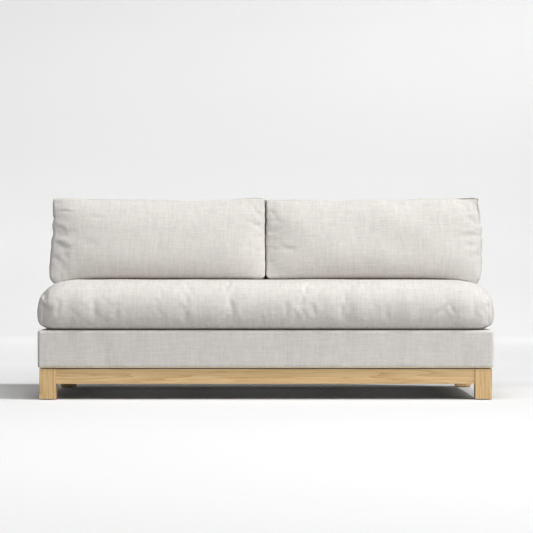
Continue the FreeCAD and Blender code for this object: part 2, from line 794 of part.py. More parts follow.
outer = body_block("body_outer", "0")
inner = body_block("body_inner", "cover_t")
inner_b = body_block("body_inner_b", "cover_t")
inner_c = body_block("body_inner_c", "cover_t")
under = box("body_under", ("2*(HX-flange_w)", "body_d-2*flange_w", "10"), ("-HX+flange_w", "body_y0+flange_w", "body_z0-5"))
well = box("body_well", ("2*903", "100", "12"), ("-903", "post_y0-2", "body_z1-8"))
node(cut("body_cover", cut("body_shell", outer, inner), fuse("body_gaps", [under, well])), "body_cover")
node(
    cut(
        "body_padding",
        inner_b,
        box("body_room", ("2*CX", "CYR-CYF", "body_z1-body_z0+20"), ("-CX", "CYF", "body_z0-10")),
    ),
    "body_padding",
)
node(
    common(
        "deck_foam",
        [inner_c, box("deck_room", ("2*CX", "deck_y1-CYF", "20"), ("-CX", "CYF", "deck_z0"))],
    ),
    "deck_foam",
)
b = body("dust_cover")
pad(b, rectangle(b, "XY_Plane", "2*(HX-flange_w-0.5)", "body_d-2*flange_w-1", "dust_outline"), "1", "dust_pad")
for i, (x, y) in enumerate(BOLTS):
    round_cut(b, "bolt_hole_r+0.5", "3", ("HX-flange_w-0.5+(" + x + ")", y + "-body_y0-flange_w-0.5", "-1"), "dust_hole_%d" % i)
place(b, ("-HX+flange_w+0.5", "body_y0+flange_w+0.5", "CZ0-1"))
node(b, "dust_cover")

# ------------------------------------------------------------- back frame
def back_y(z, off="0"):
    """Y of the leaning plane at height z, off in front of the posts."""
    return "(post_y0+lean*(%s-board_top)-(%s))" % (z, off)


def post(name, x):
    b = body(name)
    p = [
        ("post_y0", "CZ0"),
        ("CYR-board_t", "CZ0"),
        ("CYR-board_t", "board_top"),
        ("CYR", "board_top"),
        ("CYR", "post_top"),
        (back_y("post_top"), "post_top"),
        ("post_y0", "board_top"),
    ]
    pad(b, polygon(b, "YZ_Plane", p, name + "_side"), "post_w", name + "_pad")
    for j, z in enumerate(POST_Z):
        round_cut(b, "bolt_hole_r", "CYR-board_t-post_y0+2", ("post_w/2", "post_y0-1", z), "%s_hole_%d" % (name, j), ALONG_Y)
    place(b, ("(" + x + ")-post_w/2", "0", "0"))
    return b


node(group("back_posts", [post("post_%d" % i, x) for i, x in enumerate(POST_X)]), "back_posts")

b = body("back_top_rail")
p = [
    (back_y("post_top"), "post_top"),
    ("CYR", "post_top"),
    ("CYR", "post_top+top_rail_t"),
    (back_y("post_top+top_rail_t"), "post_top+top_rail_t"),
]
pad(b, polygon(b, "YZ_Plane", p, "top_rail_side"), "2*(CX-board_t+5)", "top_rail_pad")
place(b, ("-(CX-board_t+5)", "0", "0"))
node(b, "back_top_rail")


def low_rail(name, x0, x1):
    b = body(name)
    z0, z1 = "low_rail_z0", "(low_rail_z0+low_rail_hgt)"
    p = [
        (back_y(z0), z0),
        (back_y(z0) + "+low_rail_t", z0),
        (back_y(z1) + "+low_rail_t", z1),
        (back_y(z1), z1),
    ]
    pad(b, polygon(b, "YZ_Plane", p, name + "_side"), "%s-(%s)" % (x1, x0), name + "_pad")
    place(b, (x0, "0", "0"))
    return b


A0, A1 = "(CX-board_t-post_w)", "(stretch_x+board_t/2+post_w)"
B0 = "(stretch_x+board_t/2)"
node(
    group(
        "back_lower_rails",
        [
            low_rail("low_rail_a", "-" + A0, "-" + A1),
            low_rail("low_rail_b", "-" + B0, B0),
            low_rail("low_rail_c", A1, A0),
        ],
    ),
    "back_lower_rails",
)

LEAN = math.degrees(math.atan(VALUE["lean"]))
TILT = Rot(V(1, 0, 0), -LEAN)
straps = []
for i, x in enumerate(("-780", "-600", "-450", "-180", "0", "180", "450", "600", "780")):
    straps.append(
        box(
            "strap_v%d" % i,
            ("web_w", "web_t", "430"),
            (x + "-web_w/2", back_y("low_rail_z0+2", "web_t*0.995+0.1"), "low_rail_z0+2+web_t*0.0995"),
            TILT,
        )
    )
node(group("back_webbing_upright", straps), "back_webbing_upright")
straps = []
for i, z in enumerate(("400", "500", "600")):
    straps.append(
        box(
            "strap_h%d" % i,
            ("2*(CX-board_t)", "web_t", "web_w"),
            ("-(CX-board_t)", back_y(z, "2*web_t*0.995+0.2"), z + "+2*web_t*0.0995"),
            TILT,
        )
    )
node(group("back_webbing_level", straps), "back_webbing_level")

heads, nuts, discs = [], [], []
for i, x in enumerate(POST_X):
    for j, z in enumerate(POST_Z):
        t = "%d%d" % (i, j)
        head = cyl("post_bolt_head_" + t, "washer_r", "4.5", (x, "CYR-5", z), ALONG_Y)
        shank = cyl("post_bolt_shank_" + t, "bolt_r", "CYR-5-post_y0+12", (x, "post_y0-11", z), ALONG_Y)
        heads.append(fuse("post_bolt_" + t, [head, shank]))
        nut = hexagon("post_nut_hex_" + t, "bolt_head_r", "6.5", (x, "post_y0-washer_t-6.5", z), ALONG_Y)
        wash = cyl("post_washer_disc_" + t, "washer_r", "washer_t", (x, "post_y0-washer_t", z), ALONG_Y)
        hole = lambda k: cyl("post_bore_%s_%s" % (k, t), "bolt_r+0.05", "14", (x, "post_y0-12", z), ALONG_Y)
        nuts.append(cut("post_nut_" + t, nut, hole("nut")))
        discs.append(cut("post_washer_" + t, wash, hole("disc")))
node(group("back_post_bolts", heads), "back_post_bolts")
node(group("back_post_nuts", nuts), "back_post_nuts")
node(group("back_post_washers", discs), "back_post_washers")


def back_block(name, inset, foot):
    """The upholstered back: a leaning outline padded across, within an upright and a plan outline."""
    z0, z1 = foot, "(back_top-(%s))" % inset
    made = []
    side = body(name + "_side")
    p = [
        (back_y(z0, "BACKF-(%s)" % inset), z0),
        ("BY1-(%s)" % inset, z0),
        ("BY1-(%s)" % inset, z1),
        (back_y(z1, "BACKF-(%s)" % inset), z1),
    ]
    f = pad(side, polygon(side, "YZ_Plane", p, name + "_side_outline"), "body_w-2*(%s)" % inset, name + "_side_pad")
    f = soften(side, f, at(0, num(p[3][0]), num(z1)), "back_r-(%s)" % inset, name + "_side_front")
    f = soften(side, f, at(0, num(p[2][0]), num(z1)), "back_rr-(%s)" % inset, name + "_side_rear")
    place(side, ("-HX+(%s)" % inset, "0", "0"))
    made.append(side)
    face = body(name + "_face")
    f = pad(
        face,
        rectangle(face, "XZ_Plane", "body_w-2*(%s)" % inset, "%s-(%s)" % (z1, z0), name + "_face_outline"),
        "200",
        name + "_face_pad",
        back=True,
    )
    top = num("%s-(%s)" % (z1, z0))
    w = num("body_w-2*(%s)" % inset)
    f = soften(face, f, at(1, 0, top), "body_rt+4-(%s)" % inset, name + "_face_l")
    f = soften(face, f, at(1, w, top), "body_rt+4-(%s)" % inset, name + "_face_r")
    place(face, ("-HX+(%s)" % inset, "BY1-200+20", z0))
    made.append(face)
    return common(name, made)


back_outer = back_block("back_outer", "0", "body_z1+0.5")
back_inner = back_block("back_inner", "cover_t", "body_z1-6")
node(cut("back_cover", back_outer, back_inner), "back_cover")

back_inner_b = back_block("back_inner_b", "cover_t", "body_z1+0.5")
env = body("back_room")
f0, f1 = "(body_z1-10)", "(post_top+top_rail_t)"
OFF = "2*web_t*1.005+0.4"
p = [(back_y(f0, OFF), f0), ("CYR", f0), ("CYR", f1), (back_y(f1, OFF), f1)]
pad(env, polygon(env, "YZ_Plane", p, "back_room_side"), "2*(CX-board_t+5)", "back_room_pad")
place(env, ("-(CX-board_t+5)", "0", "0"))
node(cut("back_padding", back_inner_b, env), "back_padding")


# --------------------------------------------------------- seat cushion
def seat_block(name, inset):
    """The bench cushion: a crowned outline across, a rounded outline from front to rear and one in plan."""
    i = inset
    made = []
    face = body(name + "_face")
    sk = sketch(face, "XZ_Plane", name + "_crown")
    w = num("seat_w-2*(%s)" % i)
    hgt = num("seat_z1-seat_z0-2*(%s)" % i)
    flat = VALUE["seat_flat"]
    drop = VALUE["seat_drop"]
    a = (w - flat) / 2
    rad = (a * a + drop * drop) / (2 * drop)
    half = math.asin(a / rad) / 2
    p0, p1, p2 = V(0, 0, 0), V(w, 0, 0), V(w, hgt - drop, 0)
    p3, p4, p5 = V(w - a, hgt, 0), V(a, hgt, 0), V(0, hgt - drop, 0)
    mr = V(w - a + rad * math.sin(half), hgt - rad * (1 - math.cos(half)), 0)
    ml = V(a - rad * math.sin(half), hgt - rad * (1 - math.cos(half)), 0)
    sk.addGeometry(Part.LineSegment(p0, p1), False)
    sk.addGeometry(Part.LineSegment(p1, p2), False)
    sk.addGeometry(Part.Arc(p2, mr, p3), False)
    sk.addGeometry(Part.LineSegment(p3, p4), False)
    sk.addGeometry(Part.Arc(p4, ml, p5), False)
    sk.addGeometry(Part.LineSegment(p5, p0), False)
    C = Sketcher.Constraint

    def ends(k, where):
        return min((1, 2), key=lambda e: (sk.getPoint(k, e) - where).Length)

    for k, n, where in ((0, 1, p1), (1, 2, p2), (2, 3, p3), (3, 4, p4), (4, 5, p5), (5, 0, p0)):
        sk.addConstraint(C("Coincident", k, ends(k, where), n, ends(n, where)))
    sk.addConstraint(C("Coincident", 0, 1, -1, 1))
    sk.addConstraint(C("Horizontal", 0))
    sk.addConstraint(C("Vertical", 1))
    sk.addConstraint(C("Horizontal", 3))
    sk.addConstraint(C("Vertical", 5))
    for kind, args, label, text in (
        ("DistanceX", (0, 1, 0, 2, w), "wid", "seat_w-2*(%s)" % i),
        ("DistanceY", (1, 1, 1, 2, p2.y), "end", "seat_z1-seat_z0-2*(%s)-seat_drop" % i),
        ("DistanceY", (0, 1, 3, 2, hgt), "mid", "seat_z1-seat_z0-2*(%s)" % i),
        ("DistanceX", (3, 2, 3, 1, flat), "flat", "seat_flat"),
        ("DistanceX", (0, 1, 3, 2, a), "sideways", "(seat_w-2*(%s)-seat_flat)/2" % i),
    ):
        k = sk.addConstraint(C(kind, *args))
        sk.renameConstraint(k, label)
        bind(sk, "Constraints." + label, text)
    f = pad(face, sk, "seat_y1-seat_y0-2*(%s)" % i, name + "_face_pad", back=True)
    for x in (0, w):
        f = soften(face, f, at(1, x, hgt - drop), "seat_re-(%s)" % i, "%s_top_%d" % (name, x))
        f = soften(face, f, at(1, x, 0), "seat_rb-(%s)" % i, "%s_low_%d" % (name, x))
    place(face, ("-seat_w/2+(%s)" % i, "seat_y0+(%s)" % i, "seat_z0+(%s)" % i))
    made.append(face)
    sy, sz = "seat_y1-seat_y0-2*(%s)" % i, "seat_z1-seat_z0-2*(%s)" % i
    side = body(name + "_side")
    f = pad(side, rectangle(side, "YZ_Plane", sy, sz, name + "_side_outline"), "seat_w-2*(%s)" % i, name + "_side_pad")
    d, g = num(sy), num(sz)
    for key, where, r in (
        ("ft", (0, g), "seat_rf"),
        ("fb", (0, 0), "seat_rb"),
        ("rt", (d, g), "seat_rs"),
        ("rb", (d, 0), "seat_rs"),
    ):
        f = soften(side, f, at(0, *where), "%s-(%s)" % (r, i), "%s_side_%s" % (name, key))
    place(side, ("-seat_w/2+(%s)" % i, "seat_y0+(%s)" % i, "seat_z0+(%s)" % i))
    made.append(side)
    plan = body(name + "_plan")
    sx = "seat_w-2*(%s)" % i
    f = pad(plan, rectangle(plan, "XY_Plane", sx, sy, name + "_plan_outline"), sz, name + "_plan_pad")
    for key, where, r in (
        ("fl", (0, 0), "seat_rp"),
        ("fr", (num(sx), 0), "seat_rp"),
        ("rl", (0, d), "seat_rs"),
        ("rr", (num(sx), d), "seat_rs"),
    ):
        f = soften(plan, f, at(2, *where), "%s-(%s)" % (r, i), "%s_plan_%s" % (name, key))
    place(plan, ("-seat_w/2+(%s)" % i, "seat_y0+(%s)" % i, "seat_z0+(%s)" % i))
    made.append(plan)
    return common(name, made)


seat_outer = seat_block("seat_outer", "0")
seat_inner = seat_block("seat_inner", "cover_t")
seat_inner_b = seat_block("seat_inner_b", "cover_t")
node(cut("seat_cushion_cover", seat_outer, seat_inner), "seat_cushion_cover")


def core_block(name):
    b = body(name)
    f = pad(
        b,
        rectangle(b, "XY_Plane", "seat_w-2*core_in", "seat_y1-seat_y0-2*core_in", name + "_outline"),
        "core_z1-core_z0",
        name + "_pad",
    )
    place(b, ("-seat_w/2+core_in", "seat_y0+core_in", "core_z0"))
    return b


node(core_block("seat_foam_core"), "seat_foam_core")
node(cut("seat_fibre_wrap", seat_inner_b, core_block("seat_core_room")), "seat_fibre_wrap")

# Zip along the rear of the seat cushion: the tape with its teeth, and the slider with its tab.
tape = box("seat_zip_tape", ("zip_len", "tape_t", "tape_w"), ("-zip_len/2", "seat_y1", "zip_z-tape_w/2"))
teeth = box("seat_zip_teeth", ("zip_len-10", "teeth_t+0.2", "teeth_w"), ("-zip_len/2+5", "seat_y1+tape_t-0.2", "zip_z-teeth_w/2"))
node(fuse("seat_zip", [tape, teeth]), "seat_zip")


def slider(name, pos, rot=None):
    """A zip slider round the teeth with a flat pull tab, made at the origin: X along the zip, Y out of the tape."""
    shell = box(name + "_shell", ("slider_len", "teeth_t+2.2", "slider_w"), ("0", "tape_t+0.4", "-slider_w/2"))
    room = box(name + "_room", ("slider_len+2", "teeth_t+0.4", "teeth_w+0.8"), ("-1", "tape_t", "-teeth_w/2-0.4"))
    lug = box(name + "_lug", ("3", "2.2", "3"), ("slider_len/2-1.5", "tape_t+teeth_t+2.2", "-1.5"))
    tab = box(name + "_tab", ("tab_len", "1.2", "7"), ("slider_len/2-1.5", "tape_t+teeth_t+2.8", "-3.5"))
    made = fuse(name + "_made", [cut(name + "_channel", shell, room), lug, tab])
    holder = doc.addObject("Part::Compound", name)
    holder.Links = [made]
    place(holder, pos, rot)
    doc.recompute()
    return holder


node(slider("seat_zip_slider", ("-zip_len/2+8", "seat_y1", "zip_z")), "seat_zip_slider")


# --------------------------------------------------------- back cushions
def backc_block(name, inset, sx):
    """A back cushion: a leaning outline with rounded corners and a bevel for its zip, within an upright outline.
    The outline stays a little clear of the upholstered back behind it."""
    i = inset
    z0, z1 = "(seat_z1-seat_drop+rest_gap+(%s))" % i, "(backc_z1-(%s))" % i
    zf = "(seat_z1+rest_gap+(%s))" % i
    rear = lambda z: back_y(z, "BACKF+backc_clear+(%s)" % i)
    side = body(name + "_side")
    p = [
        ("backc_y0+(%s)" % i, z0),
        (rear(z0) + "-(backc_zip+seat_drop)", z0),
        (rear(zf) + "-backc_zip", zf),
        (rear("(%s+backc_zip)" % zf), "(%s+backc_zip)" % zf),
        (rear(z1), z1),
        ("backc_y1+(%s)" % i, z1),
    ]
    width = "backc_x1-back_gap-2*(%s)" % i
    f = pad(side, polygon(side, "YZ_Plane", p, name + "_side_outline"), width, name + "_side_pad")
    for k, r in ((0, "backc_r"), (5, "backc_r"), (4, "backc_r")):
        f = soften(side, f, at(0, num(p[k][0]), num(p[k][1])), "%s-(%s)" % (r, i), "%s_side_%d" % (name, k))
    x0 = "back_gap+(%s)" % i if sx > 0 else "-backc_x1+(%s)" % i
    place(side, (x0, "0", "0"))
    face = body(name + "_face")
    hei = "%s-%s" % (z1, z0)
    f = pad(face, rectangle(face, "XZ_Plane", width, hei, name + "_face_outline"), "400", name + "_face_pad", back=True)
    w, g = num(width), num(hei)
    for k, where in enumerate(((0, 0), (w, 0), (0, g), (w, g))):
        f = soften(face, f, at(1, *where), "backc_rc-(%s)" % i, "%s_face_%d" % (name, k))
    place(face, (x0, "backc_y0-50", z0))
    return common(name, [side, face])


def backc(side, sx):
    base = "back_cushion_" + side
    # what the crowned seat below takes from the cushion's underside
    seat_a = seat_block("rest_a_" + side, "-rest_gap")
    seat_b = seat_block("rest_b_" + side, "-rest_gap-cover_t")
    seat_c = seat_block("rest_c_" + side, "-rest_gap-cover_t")
    outer_c = cut("bc_outer_" + side, backc_block("bc_o_" + side, "0", sx), seat_a)
    inner_c1 = cut("bc_inner_" + side, backc_block("bc_i_" + side, "cover_t", sx), seat_b)
    inner_c2 = cut("bc_fill_" + side, backc_block("bc_f_" + side, "cover_t", sx), seat_c)
    node(cut(base + "_cover", outer_c, inner_c1), base + "_cover")
    node(inner_c2, base + "_fill")
    # the zip lies on the bevel at the foot of the rear face, half way up it
    zf = num("seat_z1+rest_gap")
    ya = num(back_y("(seat_z1+rest_gap)", "BACKF+backc_clear")) - VALUE["backc_zip"]
    yb = num(back_y("(seat_z1+rest_gap+backc_zip)", "BACKF+backc_clear"))
    angle = math.atan2(VALUE["backc_zip"], yb - ya)
    mid_y, mid_z = (ya + yb) / 2, zf + VALUE["backc_zip"] / 2
    # local Y points out of the bevel, down and to the rear
    turn = Rot(V(1, 0, 0), -math.degrees(math.pi / 2 - angle))
    xmid = (VALUE["back_gap"] + VALUE["backc_x1"]) / 2 * sx
    tape_b = box("tape_" + side, ("zipb_len", "tape_t", "tape_w"), ("0", "0", "-tape_w/2"))
    teeth_b = box("teeth_" + side, ("zipb_len-10", "teeth_t+0.2", "teeth_w"), ("5", "tape_t-0.2", "-teeth_w/2"))
    made = fuse("zip_" + side, [tape_b, teeth_b])
    holder = doc.addObject("Part::Compound", base + "_zip")
    holder.Links = [made]
    holder.Placement = Pl(V(xmid - VALUE["zipb_len"] / 2, mid_y, mid_z), turn)
    bind(holder, "Placement.Base.x", "%d*(back_gap+backc_x1)/2-zipb_len/2" % sx)
    node(holder, base + "_zip")
    s = slider(base + "_zip_slider", ("0", "0", "0"))
    s.Placement = Pl(V(xmid - VALUE["zipb_len"] / 2 + 8, mid_y, mid_z), turn)
    bind(s, "Placement.Base.x", "%d*(back_gap+backc_x1)/2-zipb_len/2+8" % sx)
    node(s, base + "_zip_slider")


backc("left", -1)
backc("right", 1)

# ----------------------------------------------------------- check and write
doc.recompute()
bad = [o.Label for o in doc.Objects if "Invalid" in o.State or "Error" in o.State]
if bad:
    raise RuntimeError("failed objects: " + ", ".join(bad))
for name, obj in NODES:
    s = obj.Shape
    if s.isNull() or not s.isValid() or not s.Solids:
        raise RuntimeError("bad shape: " + name)
    if any(k.Volume <= 0 for k in s.Solids):
        raise RuntimeError("inside out: " + name)
os.makedirs("parts", exist_ok=True)
for old in os.listdir("parts"):
    if old.endswith(".step"):
        os.remove(os.path.join("parts", old))
for name, obj in NODES:
    obj.Shape.exportStep(os.path.join("parts", name + ".step"))
    bb = obj.Shape.BoundBox
    print(
        "%-26s %2d solids %10.0f mm3  x %.1f..%.1f y %.1f..%.1f z %.1f..%.1f"
        % (name, len(obj.Shape.Solids), obj.Shape.Volume, bb.XMin, bb.XMax, bb.YMin, bb.YMax, bb.ZMin, bb.ZMax)
    )
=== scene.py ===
import math

import bmesh
import bpy
import numpy as np
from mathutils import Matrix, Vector


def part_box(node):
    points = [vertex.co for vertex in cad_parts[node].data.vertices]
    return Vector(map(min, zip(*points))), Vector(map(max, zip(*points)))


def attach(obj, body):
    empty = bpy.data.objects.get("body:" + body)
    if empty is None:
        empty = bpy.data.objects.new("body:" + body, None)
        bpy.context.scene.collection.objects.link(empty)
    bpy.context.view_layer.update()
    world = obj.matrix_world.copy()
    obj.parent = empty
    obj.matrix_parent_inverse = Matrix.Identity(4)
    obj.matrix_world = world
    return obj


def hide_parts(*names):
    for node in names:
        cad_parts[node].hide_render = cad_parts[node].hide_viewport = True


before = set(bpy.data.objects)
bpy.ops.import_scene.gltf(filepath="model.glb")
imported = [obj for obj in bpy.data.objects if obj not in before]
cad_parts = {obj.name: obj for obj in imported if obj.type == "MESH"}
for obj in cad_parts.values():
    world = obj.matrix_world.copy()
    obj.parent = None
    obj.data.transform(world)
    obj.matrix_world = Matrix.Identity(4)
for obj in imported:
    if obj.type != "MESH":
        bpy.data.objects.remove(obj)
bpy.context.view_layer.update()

COLL = bpy.context.scene.collection


# --------------------------------------------------------------------------
# camera: level, centred, far off, as a product view
# --------------------------------------------------------------------------
cam_data = bpy.data.cameras.new("camera")
cam_data.lens = 148.3
cam_data.sensor_width = 36.0
cam_data.sensor_fit = "HORIZONTAL"
cam_data.clip_start = 0.1
cam_data.clip_end = 100.0
cam = bpy.data.objects.new("camera", cam_data)
cam.location = (0.0035, -9.495, 0.5465)
cam.rotation_euler = (math.radians(90), 0, 0)
COLL.objects.link(cam)
bpy.context.scene.camera = cam


# --------------------------------------------------------------------------
# node helpers
# --------------------------------------------------------------------------
class Tree:
    """A short way to write a material's nodes."""

    def __init__(self, name):
        self.mat = bpy.data.materials.new(name)
        self.mat.use_nodes = True
        self.nt = self.mat.node_tree
        self.nt.nodes.clear()
        self.out = self.nt.nodes.new("ShaderNodeOutputMaterial")
        self.bsdf = self.nt.nodes.new("ShaderNodeBsdfPrincipled")
        self.nt.links.new(self.bsdf.outputs[0], self.out.inputs[0])

    def node(self, kind, **props):
        n = self.nt.nodes.new(kind)
        for k, v in props.items():
            setattr(n, k, v)
        return n

    def link(self, a, b):
        self.nt.links.new(a, b)

    def put(self, socket, value):
        if isinstance(value, bpy.types.NodeSocket):
            self.link(value, socket)
        else:
            socket.default_value = value

    def math(self, op, a, b=0.0, c=None):
        n = self.node("ShaderNodeMath", operation=op)
        self.put(n.inputs[0], a)
        self.put(n.inputs[1], b)
        if c is not None:
            self.put(n.inputs[2], c)
        return n.outputs[0]

    def object_coord(self):
        return self.node("ShaderNodeTexCoord").outputs["Object"]

    def attribute(self, name):
        return self.node("ShaderNodeAttribute", attribute_name=name, attribute_type="GEOMETRY").outputs["Vector"]

    def scale(self, vector, xyz, offset=(0, 0, 0)):
        n = self.node("ShaderNodeMapping")
        self.link(vector, n.inputs["Vector"])
        n.inputs["Scale"].default_value = xyz
        n.inputs["Location"].default_value = offset
        return n.outputs[0]

    def noise(self, vector, scale=1.0, detail=2.0, rough=0.5, distortion=0.0, out="Fac"):
        n = self.node("ShaderNodeTexNoise")
        self.link(vector, n.inputs["Vector"])
        n.inputs["Scale"].default_value = scale
        n.inputs["Detail"].default_value = detail
        n.inputs["Roughness"].default_value = rough
        n.inputs["Distortion"].default_value = distortion
        return n.outputs[out]

    def wave(self, vector, scale, axis="X", distortion=0.0, detail=0.0, profile="SIN"):
        n = self.node("ShaderNodeTexWave", wave_type="BANDS", bands_direction=axis, wave_profile=profile)
        self.link(vector, n.inputs["Vector"])
        n.inputs["Scale"].default_value = scale
        n.inputs["Distortion"].default_value = distortion
        n.inputs["Detail"].default_value = detail
        return n.outputs["Fac"]

    def ramp(self, fac, stops, interpolation="LINEAR"):
        n = self.node("ShaderNodeValToRGB")
        n.color_ramp.interpolation = interpolation
        while len(n.color_ramp.elements) < len(stops):
            n.color_ramp.elements.new(0.5)
        for e, (pos, col) in zip(n.color_ramp.elements, stops):
            e.position = pos
            e.color = (*col, 1.0) if len(col) == 3 else col
        self.link(fac, n.inputs[0])
        return n.outputs[0]

    def remap(self, value, a, b, c, d, smooth=False):
        n = self.node("ShaderNodeMapRange", interpolation_type="SMOOTHSTEP" if smooth else "LINEAR")
        self.put(n.inputs[0], value)
        for i, x in enumerate((a, b, c, d)):
            n.inputs[i + 1].default_value = x
        return n.outputs[0]

    def mix(self, fac, a, b, blend="MIX"):
        n = self.node("ShaderNodeMix", data_type="RGBA", blend_type=blend)
        self.put(n.inputs[0], fac)
        self.put(n.inputs[6], (*a, 1.0) if isinstance(a, tuple) and len(a) == 3 else a)
        self.put(n.inputs[7], (*b, 1.0) if isinstance(b, tuple) and len(b) == 3 else b)
        return n.outputs[2]

    def times(self, colour, value):
        """colour with its brightness multiplied by value."""
        n = self.node("ShaderNodeVectorMath", operation="SCALE")
        self.put(n.inputs[0], colour)
        self.put(n.inputs["Scale"], value)
        return n.outputs[0]

    def bump(self, height, strength, distance, normal=None):
        n = self.node("ShaderNodeBump")
        n.inputs["Strength"].default_value = strength
        n.inputs["Distance"].default_value = distance
        self.link(height, n.inputs["Height"])
        if normal is not None:
            self.link(normal, n.inputs["Normal"])
        return n.outputs[0]


def linen(name, base, seed=0.0, coord="weave"):
    """Slubby plain-woven upholstery. coord is the fabric's own coordinates, in metres:
    x along the weft, y along the warp, z a number of its own for each panel."""
    t = Tree(name)
    c = t.attribute(coord)
    c = t.scale(c, (1, 1, 7.3), (seed, seed * 1.7, seed * 3.1))
    # threads, a little uneven in width
    wob = t.noise(t.scale(c, (60, 60, 1)), 1.0, 1.0)
    weft = t.wave(c, 350, "Y", 1.2, 1.0)
    warp = t.wave(c, 350, "X", 1.2, 1.0)
    check = t.math("MAXIMUM", weft, warp)
    # slubs: long thin streaks along both threads, in two sizes
    s1 = t.noise(t.scale(c, (26, 330, 1)), 1.0, 2.0, 0.55)
    s2 = t.noise(t.scale(c, (330, 26, 1), (4.1, 0.3, 2.0)), 1.0, 2.0, 0.55)
    s3 = t.noise(t.scale(c, (9, 120, 1), (0.0, 5.2, 1.0)), 1.0, 2.0, 0.5)
    s4 = t.noise(t.scale(c, (120, 9, 1), (2.0, 1.2, 6.0)), 1.0, 2.0, 0.5)
    fine = t.math("ADD", t.remap(s1, 0.3, 0.7, -1, 1), t.remap(s2, 0.3, 0.7, -1, 1))
    wide = t.math("ADD", t.remap(s3, 0.3, 0.7, -1, 1), t.remap(s4, 0.3, 0.7, -1, 1))
    cloud = t.noise(t.scale(c, (5, 5, 1)), 1.0, 2.0, 0.5)
    v = t.math("MULTIPLY_ADD", fine, 0.050, 1.0)
    v = t.math("MULTIPLY_ADD", wide, 0.040, v)
    v = t.math("ADD", v, t.remap(cloud, 0.3, 0.7, -0.012, 0.012))
    v = t.math("ADD", v, t.remap(check, 0.2, 1.0, -0.035, 0.012))
    warm = tuple(x * k for x, k in zip(base, (1.0, 0.985, 0.955)))
    hue = t.mix(t.remap(s3, 0.35, 0.7, 0.0, 1.0), base, warm)
    colour = t.times(hue, v)
    # painted shade: ambient occlusion darkens and warms the base colour in folds, creases and where pieces nearly
    # touch, standing in for the shade that falls there
    ao = t.node("ShaderNodeAmbientOcclusion", samples=6)
    ao.inputs["Distance"].default_value = 0.035
    occlusion_for_shade = t.math("POWER", t.math("SUBTRACT", 1.0, ao.outputs["AO"]), 2.0)
    shade = t.mix(t.remap(occlusion_for_shade, 0.03, 0.80, 0.0, 1.0), (1.0, 1.0, 1.0), (0.36, 0.31, 0.24))
    mul = t.node("ShaderNodeVectorMath", operation="MULTIPLY")
    t.link(colour, mul.inputs[0])
    t.link(shade, mul.inputs[1])
    t.link(mul.outputs[0], t.bsdf.inputs["Base Color"])
    h = t.math("MULTIPLY_ADD", t.remap(fine, -1, 1, 0, 1), 0.5, check)
    t.link(t.bump(h, 0.35, 0.0005), t.bsdf.inputs["Normal"])
    t.link(t.remap(wob, 0.3, 0.7, 0.86, 0.98), t.bsdf.inputs["Roughness"])
    t.bsdf.inputs["Specular IOR Level"].default_value = 0.22
    t.bsdf.inputs["Sheen Weight"].default_value = 0.18
    t.bsdf.inputs["Sheen Roughness"].default_value = 0.45
    return t.mat


def wood(name, axis, seed, light=(0.705, 0.500, 0.265), dark=(0.53, 0.335, 0.140), rough=0.46, strength=1.0):
    """Sawn ash: straight grain along an axis (0, 1 or 2), with cathedral figure, pores and a few darker lines."""
    t = Tree(name)
    c = t.object_coord()
    along = [1.0, 1.0, 1.0]
    long = [0.0, 0.0, 0.0]
    long[axis] = 1.0
    stretch = tuple(1.1 if i == axis else 26.0 for i in range(3))
    shift = (seed * 3.7, seed * 1.9, seed * 5.3)
    g = t.scale(c, stretch, shift)
    figure = t.noise(g, 1.0, 2.0, 0.5)
    # growth rings: bands across the grain, bent by the figure
    rings_in = t.math("MULTIPLY", figure, 9.0)
    rings = t.math("FRACT", rings_in)
    rings = t.remap(rings, 0.0, 1.0, 0.0, 1.0)
    early = t.math("POWER", rings, 2.2)
    fibre = t.noise(t.scale(c, tuple(14.0 if i == axis else 620.0 for i in range(3)), shift), 1.0, 2.0, 0.6)
    pores = t.noise(t.scale(c, tuple(45.0 if i == axis else 1500.0 for i in range(3)), shift), 1.0, 1.0, 0.5)
    pore = t.math("MULTIPLY", t.remap(pores, 0.56, 0.70, 0.0, 1.0), t.remap(early, 0.25, 0.8, 0.25, 1.0))
    patch = t.noise(t.scale(c, tuple(1.6 if i == axis else 9.0 for i in range(3)), shift), 1.0, 2.0, 0.5)
    fac = t.math("MULTIPLY_ADD", early, 0.85 * strength, t.remap(fibre, 0.3, 0.7, -0.22, 0.26))
    fac = t.math("ADD", fac, t.remap(patch, 0.3, 0.7, -0.16, 0.2))
    n = t.node("ShaderNodeClamp")
    t.link(fac, n.inputs[0])
    colour = t.mix(n.outputs[0], light, dark)
    colour = t.mix(t.math("MULTIPLY", pore, 0.38), colour, tuple(x * 0.55 for x in dark))
    t.link(colour, t.bsdf.inputs["Base Color"])
    h = t.math("MULTIPLY_ADD", pore, -0.8, t.math("MULTIPLY", fibre, 0.5))
    t.link(t.bump(h, 0.35, 0.0004), t.bsdf.inputs["Normal"])
    t.link(t.math("MULTIPLY_ADD", pore, 0.2, t.remap(fibre, 0.3, 0.7, rough - 0.05, rough + 0.08)), t.bsdf.inputs["Roughness"])
    t.bsdf.inputs["Specular IOR Level"].default_value = 0.4
    return t.mat


